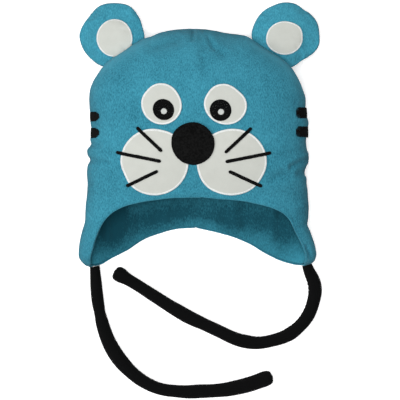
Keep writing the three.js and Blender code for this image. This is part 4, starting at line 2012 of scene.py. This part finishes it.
    def pucker(self, ear: bpy.types.Object) -> None:
        """Press soft radial gathers into the cloth next to the seam round the edge.

        Args:
            ear: The ear.
        """
        points = points_of(ear)
        turn, out = self.around(points)
        near = bell(out - 0.88, 0.09)
        up = np.sign(points[:, 2] - self.middle(points[:, 0], points[:, 1]))
        ring = np.stack([np.cos(turn), np.sin(turn), np.full_like(turn, 0.3)], axis=-1) * 22 * MM
        points[:, 2] -= up * 0.5 * MM * near * np.clip(SoftNoise(17, 4 * MM)(ring), 0, 1)
        ear.data.vertices.foreach_set("co", points.ravel())
        ear.data.update()

    def shade(self, points: np.ndarray) -> np.ndarray:
        """Painted shade in the seam round the edge, and painted light on the rest."""
        _, out = self.around(points)
        return 0.5 * np.clip((out - 0.955) / 0.045, 0, 1) - self.painted_ear_light


@dataclass
class CrownBlock:
    """The crown's filled form with a clearance round it, as a shape to trim against."""

    clearance: float = 0.2 * MM
    around: int = 180
    rows: int = 60
    end: float = 30 * MM
    form: HatForm = HatForm()
    lie: Lie = Lie()

    def build(self) -> bpy.types.Object:
        """Make the block, hidden from renders.

        Returns:
            The block.
        """
        angle = np.linspace(-180, 180, self.around, endpoint=False)[None, :]
        drop = np.linspace(-self.form.arc, self.end, self.rows)[:, None]
        angle, drop = np.broadcast_arrays(angle, drop)
        is_front = np.abs(angle) <= 90
        plain = self.form.surface(angle, drop) + np.where(is_front, GAP, 0)[..., None] * UP
        sink = self.lie.sink(plain, is_front) - self.clearance
        points = self.lie.shifted(plain, angle) + self.form.inward(angle, drop) * sink[..., None]
        plan = MeshPlan()
        numbers = plan.lay(points)
        plan.quads(numbers, ring=True)
        plan.faces.append(numbers[-1].tolist())
        block = plan.make("crown_block", bpy.data.materials.new("block"))
        block.hide_render = True
        return block


# Ties


@dataclass
class Tie:
    """A stuffed cloth tie that lies on the surface, by the route of its middle line in millimetres.

    A swell has its distance from the flap in millimetres, its share of the radius and its spread.
    """

    node: str
    route: tuple[Place, ...]
    material: bpy.types.Material
    radius: float = 6.2 * MM
    neck: float = 0.2
    knob: float = 0.17
    swells: Bumps = ()
    wrinkle: float = 0.5 * MM
    wrinkle_step: float = 5.2 * MM
    seam_depth: float = 0.35 * MM
    seam_turn: float = 5.6
    waves: float = 0.35 * MM
    flatness: float = 0.96
    cap: float = 5.5
    cap_power: float = 2.6
    flap_gap: float = 0.25 * MM
    floor_gap: float = 0.15 * MM
    sides: int = 40
    step: float = 1.0 * MM
    seed: int = 11

    def build(self, flap: Callable[[np.ndarray], np.ndarray]) -> bpy.types.Object:
        """Args:
            flap: Lower edge of the hat's flap, from places across.

        Returns:
            The piece.
        """
        path = self.path()
        tangents = unit(np.gradient(path, axis=0))
        side = unit(np.cross(UP, tangents))
        up = np.cross(tangents, side)
        run = run_along(path)
        length = run[-1]
        bend = np.einsum("ij,ij->i", np.gradient(tangents, axis=0) / self.step, side)
        radius = self.radii(run, length, bend)
        around = np.linspace(0, 2 * math.pi, self.sides, endpoint=False)
        cosine, sine = np.cos(around)[None, :, None], np.sin(around)[None, :, None]
        tight = np.clip(np.abs(bend) * self.radius * 2.2, 0, 1)[:, None]
        inner_bend = tight * np.clip(np.sign(bend)[:, None] * np.cos(around), 0, 1)
        wrinkles = self.wrinkle * inner_bend * np.cos(2 * math.pi * run / self.wrinkle_step)[:, None]
        seam = self.seam_depth * bell(around - self.seam_turn, 0.11)[None, :]
        reach = (radius[:, None] - wrinkles - seam)[..., None]
        points = path[:, None] + side[:, None] * cosine * reach + up[:, None] * sine * reach * self.flatness
        waves = SoftNoise(self.seed, 14 * MM)(points) * self.waves
        points = points + unit(points - path[:, None]) * waves[..., None]
        points[..., 2] = np.maximum(points[..., 2], self.floor_gap)
        to_flap = flap(points[0, :, 0]) - self.flap_gap - points[0, :, 1]
        points[..., 1] += to_flap * part_way(run, 9, -9)[:, None]
        tube = self.tube(points, path, run)
        hand_over(tube, Slot.TIE_CLOTH, self.node)
        2 * self.radius
        return tube

    def path(self) -> np.ndarray:
        """Lay a smooth curve through the route.

        Returns:
            Points on it at even steps.
        """
        route = np.array([(x * MM, y * MM, self.radius) for x, y in self.route])
        ends = np.concatenate([[2 * route[0] - route[1]], route, [2 * route[-1] - route[-2]]])
        pieces = []
        for a, b, c, d in zip(ends[:-3], ends[1:-2], ends[2:-1], ends[3:]):
            t = np.linspace(0, 1, 24, endpoint=False)[:, None]
            square, cube = 2 * a - 5 * b + 4 * c - d, 3 * b - a - 3 * c + d
            pieces.append(0.5 * (2 * b + (c - a) * t + square * t**2 + cube * t**3))
        curve = np.concatenate([*pieces, route[-1:]])
        run = run_along(curve)
        even = np.linspace(0, run[-1], int(run[-1] / self.step) + 1)
        curve = np.stack([np.interp(even, run, curve[:, k]) for k in range(3)], axis=-1)
        kernel = np.ones(7) / 7
        for _ in range(2):
            padded = np.pad(curve, ((3, 3), (0, 0)), mode="reflect", reflect_type="odd")
            curve = np.stack([np.convolve(padded[:, k], kernel, "valid") for k in range(3)], axis=-1)
        return curve

    def radii(self, run: np.ndarray, length: float, bend: np.ndarray) -> np.ndarray:
        """Radius along the tie.

        Args:
            run: Distance of each point from the flap.
            length: Whole length.
            bend: Curvature at each point.

        Returns:
            The radii: narrower at the flap, fuller in bends, and rounded at the far end.
        """
        swell = np.convolve(np.abs(bend) * self.radius, np.ones(15) / 15, "same")
        full = self.radius * (1 + 0.3 * swell)
        flap = 1 - self.neck * np.exp(-run / (12 * MM))
        uneven = SoftNoise(self.seed + 1, 19 * MM)(np.stack([run, 0 * run, 0 * run], axis=-1))
        far = 1 + self.knob * bell(length - run - 7.5 * MM, 7 * MM)
        for middle, share, spread in self.swells:
            far = far + share * bell(run - middle * MM, spread * MM)
        cap = (1 - (1 - part_way(length - run, 0, self.cap)) ** self.cap_power) ** (1 / self.cap_power)
        return full * flap * (far + 0.035 * uneven) * cap

    def tube(self, points: np.ndarray, path: np.ndarray, run: np.ndarray) -> bpy.types.Object:
        """Close the rings into a tube with a map of its own.

        Args:
            points: Rings of points.
            path: Their centres.
            run: Distance of each ring from the flap.

        Returns:
            The tube.
        """
        plan = MeshPlan()
        numbers = plan.lay(points)
        plan.quads(numbers, flip=True, ring=True)
        plan.faces.append(numbers[0].tolist())
        plan.faces.append(numbers[-1][::-1].tolist())
        tube = plan.make(f"{self.node}_knit", self.material)
        spots = points_of(tube)
        nearest = np.array([np.argmin(np.abs(path - spot).sum(axis=1)) for spot in spots])
        flat = tube.data.uv_layers.new(name="cloth")
        corner = np.array([loop.vertex_index for loop in tube.data.loops])
        off = spots - path[nearest]
        turn = np.arctan2(off[:, 2], np.linalg.norm(off[:, :2], axis=1))
        values = np.stack([turn[corner] * self.radius, run[nearest][corner]], axis=-1)
        flat.data.foreach_set("uv", values.astype(np.float32).ravel())
        return tube


# Studio


@dataclass
class Studio:
    """The pale floor, the soft light and the camera."""

    camera_at: Point = (-0.0003, -0.0658, 3.0)
    lens: float = 267.3
    zenith: float = 0.3
    horizon: float = 0.08
    lit: Point = (0.0, -0.03, 0.03)
    lamps: tuple[tuple[str, Point, float, float], ...] = (
        ("key", (-3.6, -0.5, 3.4), 2.0, 112.0),
        ("top", (-0.15, -0.15, 3.6), 1.8, 91.0),
        ("crown", (0.3, 3.4, 2.4), 2.0, 20.0),
    )

    def build(self) -> None:
        """Set up the studio."""
        camera = bpy.data.cameras.new("camera")
        camera.lens = self.lens
        camera.sensor_width = 36
        camera.clip_end = 60
        holder = place("camera", camera)
        holder.location = self.camera_at
        bpy.context.scene.camera = holder
        bpy.context.scene.view_settings.view_transform = "Standard"
        self.floor()
        self.surround()
        for lamp in self.lamps:
            self.lamp(*lamp)

    def floor(self) -> None:
        """A wide pale floor that throws no light back at the hat."""
        plan = MeshPlan()
        span = np.linspace(-6, 6, 5)
        x, y = np.meshgrid(span, span)
        plan.quads(plan.lay(np.stack([x, y, np.zeros_like(x)], axis=-1)), flip=True)
        floor = plan.make("floor", PaleFloor("floor").make())
        floor.visible_diffuse = False

    def surround(self) -> None:
        """A white surround that is brighter overhead than at the horizon."""
        world = bpy.data.worlds.new("surround")
        world.use_nodes = True
        nodes = Nodes(world.node_tree)
        back = world.node_tree.nodes["Background"]
        at = nodes.add("ShaderNodeTexCoord").outputs["Generated"]
        height = Signal(nodes, nodes.add("ShaderNodeSeparateXYZ", None, {0: at}).outputs[2])
        share = height.within(0.0, 0.9)
        nodes.feed(back.inputs["Strength"], self.horizon + share * (self.zenith - self.horizon))
        back.inputs["Color"].default_value = (1, 1, 1, 1)
        bpy.context.scene.world = world

    def lamp(self, name: str, at: Point, size: float, power: float) -> None:
        """Add a square lamp that shines at the hat.

        Args:
            name: Its name.
            at: Its place.
            size: Its side.
            power: Its power in watts.
        """
        light = bpy.data.lights.new(name, "AREA")
        light.size = size
        light.energy = power
        holder = place(name, light)
        holder.location = at
        holder.rotation_euler = (Vector(self.lit) - Vector(at)).to_track_quat("-Z", "Y").to_euler()


class FlapEdge:
    """Lower edge of a flap, seen from above, which is convex."""

    def __init__(self, points: np.ndarray) -> None:
        """Keep the lower hull of a flap.

        Args:
            points: Its points.
        """
        hull: list[np.ndarray] = []
        for point in sorted(points[:, :2].tolist()):
            while len(hull) > 1 and self.turns_down(hull[-2], hull[-1], point):
                hull.pop()
            hull.append(point)
        self.hull = np.array(hull)

    def turns_down(self, first: list[float], middle: list[float], last: list[float]) -> bool:
        """Whether the middle point lies above the line between the other two."""
        ahead, further = np.subtract(middle, first), np.subtract(last, first)
        return ahead[0] * further[1] - ahead[1] * further[0] <= 0

    def __call__(self, x: np.ndarray) -> np.ndarray:
        """Lowest place of the flap along, at some places across."""
        return np.interp(x, self.hull[:, 0], self.hull[:, 1])


# Places of the face's pieces, the ears and the ties

FACE_X = -7.1 * MM
CHEEK_RADIUS = 32.8 * MM
CHEEK_ACROSS = {"left": 33.5 * MM, "right": 34.4 * MM}
CHEEK_FLATS = {
    "left": ((78, 0.022, 20), (203, 0.040, 14)),
    "right": ((105, 0.020, 26), (224, -0.030, 22), (330, 0.020, 14)),
}
CHEEK_OUT = 38 * MM
CHEEK_Y = -28.1 * MM
EYES = {
    "left": Outline(-38 * MM, 28.7 * MM, 20.0 * MM, 20.3 * MM, -0.03, ((137, 0.040, 20), (28, 0.045, 30))),
    "right": Outline(24.6 * MM, 28.4 * MM, 21.1 * MM, 20.1 * MM, -0.06, ((47, 0.085, 28), (147, 0.04, 20))),
}
PUPILS = {
    "left": (-36.1 * MM, 23.05 * MM, 10.4 * MM, -0.08),
    "right": (19.85 * MM, 22.45 * MM, 10.6 * MM, -0.02),
}
NOSE = Outline(-7.0 * MM, -10.1 * MM, 21.1 * MM, 20.8 * MM, 0.0, ((152, -0.045, 28), (50, 0.025, 26)))
WHISKER_WIDTH = 3.4 * MM
WHISKERS = {
    "left": {
        "top": ((-55.5, 5.8), (-30.5, -18.0)),
        "middle": ((-75.8, -18.6), (-31.6, -27.6)),
        "low": ((-66.0, -52.0), (-34.6, -36.8)),
    },
    "right": {
        "top": ((57.4, 5.2), (31.5, -19.0)),
        "middle": ((76.7, -19.1), (31.9, -27.9)),
        "low": ((68.0, -52.3), (35.1, -37.1)),
    },
}
STRIPES = {
    "stripe_left_top": (-1, 17.0 * MM, 9.4 * MM, 0.78, 57.2),
    "stripe_left_low": (-1, 0.7 * MM, 9.9 * MM, 0.78, 57.4),
    "stripe_right_top": (1, 20.5 * MM, 10.8 * MM, 0.34, 56.6),
    "stripe_right_low": (1, 1.9 * MM, 10.5 * MM, 0.38, 55.9),
}
LEFT_EAR_BUMPS = (
    (61, 1.7, 17),
    (112, 0.6, 20),
    (16, -1.2, 15),
    (142, -1.8, 22),
    (180, 1.0, 12),
    (225, -0.5, 15),
)
RIGHT_EAR_BUMPS = (
    (55, -1.4, 12),
    (113, -0.7, 14),
    (303, -3.6, 22),
    (345, 1.1, 12),
    (22, 0.6, 12),
    (180, 1.0, 14),
)
EAR_PATCHES = {
    "left": Outline(-85.6 * MM, 95.9 * MM, 17.8 * MM, 18.6 * MM, 0.0, ((20, 0.02, 16), (328, -0.03, 14))),
    "right": Outline(84.0 * MM, 95.9 * MM, 17.9 * MM, 16.7 * MM, 0.0, ((36, -0.075, 22), (195, -0.04, 24))),
}
TIE_LEFT = (
    (-106.4, -134.3), (-106.1, -138), (-105.2, -148), (-104, -161.7), (-101.8, -176.5),
    (-99.1, -188.8), (-95.8, -200), (-90.8, -211.9), (-84, -223.1), (-74.4, -234.6),
    (-63.8, -244.3), (-52.5, -251.4), (-39.8, -256.4), (-25.5, -258.5), (-4, -259),
    (24, -257), (46, -252.5), (60, -248), (73, -243.4),
)
TIE_RIGHT = (
    (107.4, -132.2), (108.6, -135.8), (110.9, -140.2), (113.7, -145.8), (115.5, -152.5),
    (115.7, -159), (114.6, -165.5), (110.8, -178), (103, -190.1), (89.9, -200.9),
    (73.9, -207.1), (58.2, -209.9), (48, -208.8), (36.6, -206.1), (14.7, -196.2),
    (-9.2, -185.2), (-30, -173.2), (-45.7, -163), (-64, -151.4), (-87, -137.6),
)
LEFT_SWELLS = ((46, -0.12, 7), (88, 0.19, 26), (150, -0.06, 13), (184, 0.11, 16), (232, 0.21, 28))
RIGHT_SWELLS = (
    (20, 0.08, 18),
    (78, 0.07, 6),
    (102, -0.04, 12),
    (124, 0.06, 9),
    (194, 0.11, 18),
    (243, -0.07, 9),
    (270, 0.11, 7),
)
FLAP_TOP = -112 * MM
FLAP_OUT = 80 * MM


def rest_height(x: np.ndarray, y: np.ndarray) -> np.ndarray:
    """How high a bar lies: over a cheek patch, or beyond its edge down on the shell.

    Args:
        x: Places across.
        y: Places along.

    Returns:
        Heights above the shell.
    """
    beyond = np.hypot(np.abs(x - FACE_X) - CHEEK_OUT, y - CHEEK_Y) - CHEEK_RADIUS
    return 1.95 * MM - 1.3 * MM * ramp(beyond, 0.8, 2.4)


def lay_ties(dress: Wardrobe, hat: np.ndarray) -> None:
    """Lay both ties, each from the edge of its flap.

    Args:
        dress: The finishes.
        hat: Points of the shell.
    """
    ties = (("tie_left", TIE_LEFT, LEFT_SWELLS, -1), ("tie_right", TIE_RIGHT, RIGHT_SWELLS, 1))
    for node, route, swells, sign in ties:
        flap = hat[(hat[:, 1] < FLAP_TOP) & (hat[:, 0] * sign > FLAP_OUT)]
        Tie(node, route, dress.knit, swells=swells).build(FlapEdge(flap))


def sew_ears(dress: Wardrobe, front: Ground, satin: SatinThread) -> None:
    """Sew both ears and their patches, which end where the shell or the ear's edge begins.

    Args:
        dress: The finishes.
        front: The shell's front.
        satin: The thread of the borders.
    """
    block = CrownBlock().build()
    for ear in (
        Ear("left", -87.8 * MM, 98.7 * MM, 32.8 * MM, LEFT_EAR_BUMPS, dress.fleece),
        # The right ear gets more painted light than the left.
        Ear("right", 85.7 * MM, 98.7 * MM, 33.9 * MM, RIGHT_EAR_BUMPS, dress.fleece, painted_ear_light=0.18),
    ):
        top = Ground(ear.build(block))
        FeltShape(
            top,
            satin,
            f"ear_patch_{ear.side}",
            EAR_PATCHES[ear.side],
            dress.white,
            border=1.5 * MM,
            under=lambda x, y, top=top: math.isfinite(front.height(x, y)) or math.isnan(top.height(x, y)),
        ).build()
    bpy.data.objects.remove(block)


def sew_face(dress: Wardrobe, front: Ground, satin: SatinThread) -> None:
    """Sew the eyes, cheeks, whiskers, nose and stripes.

    Args:
        dress: The finishes.
        front: The shell's front.
        satin: The thread.
    """
    black = dress.black.thread
    for side, sign in (("left", -1), ("right", 1)):
        middle, across, flats = FACE_X + sign * CHEEK_OUT, CHEEK_ACROSS[side], CHEEK_FLATS[side]
        cheek = Outline(middle, CHEEK_Y, across, CHEEK_RADIUS, 0.0, flats)
        FeltShape(front, satin, f"eye_white_{side}", EYES[side], dress.white, 1.9 * MM).build()
        FeltShape(front, satin, f"muzzle_{side}", cheek, dress.white, 2.1 * MM).build()
        Pupil(front, satin, side, *PUPILS[side], black, dress.glint).build()
        for name, ends in WHISKERS[side].items():
            start, end = ((FACE_X + x * MM, y * MM) for x, y in ends)
            node = f"whisker_{side}_{name}"
            Bar(front, satin, node, start, end, WHISKER_WIDTH, black, rest_height).build()
    FeltShape(front, satin, "nose", NOSE, dress.black, 1.8 * MM, lift=1.7 * MM).build()
    for node, sizes in STRIPES.items():
        Stripe(front, satin, node, *sizes, black).build()


def main() -> None:
    """Build the studio, the hat, its ties, its ears and its face in order."""
    logging.basicConfig(level=logging.INFO, format="%(name)s: %(message)s")
    Studio().build()
    dress = Wardrobe()
    shell, lining = Shell(dress.fleece), Lining(dress.lining)
    panels = {side: shell.build(side) for side in Side}
    for side in Side:
        lining.build(side)
    lay_ties(dress, np.concatenate([points_of(piece) for piece in panels.values()]))
    front, satin = Ground(panels[Side.FRONT]), SatinThread()
    sew_ears(dress, front, satin)
    sew_face(dress, front, satin)


if __name__ == "__main__":
    main()
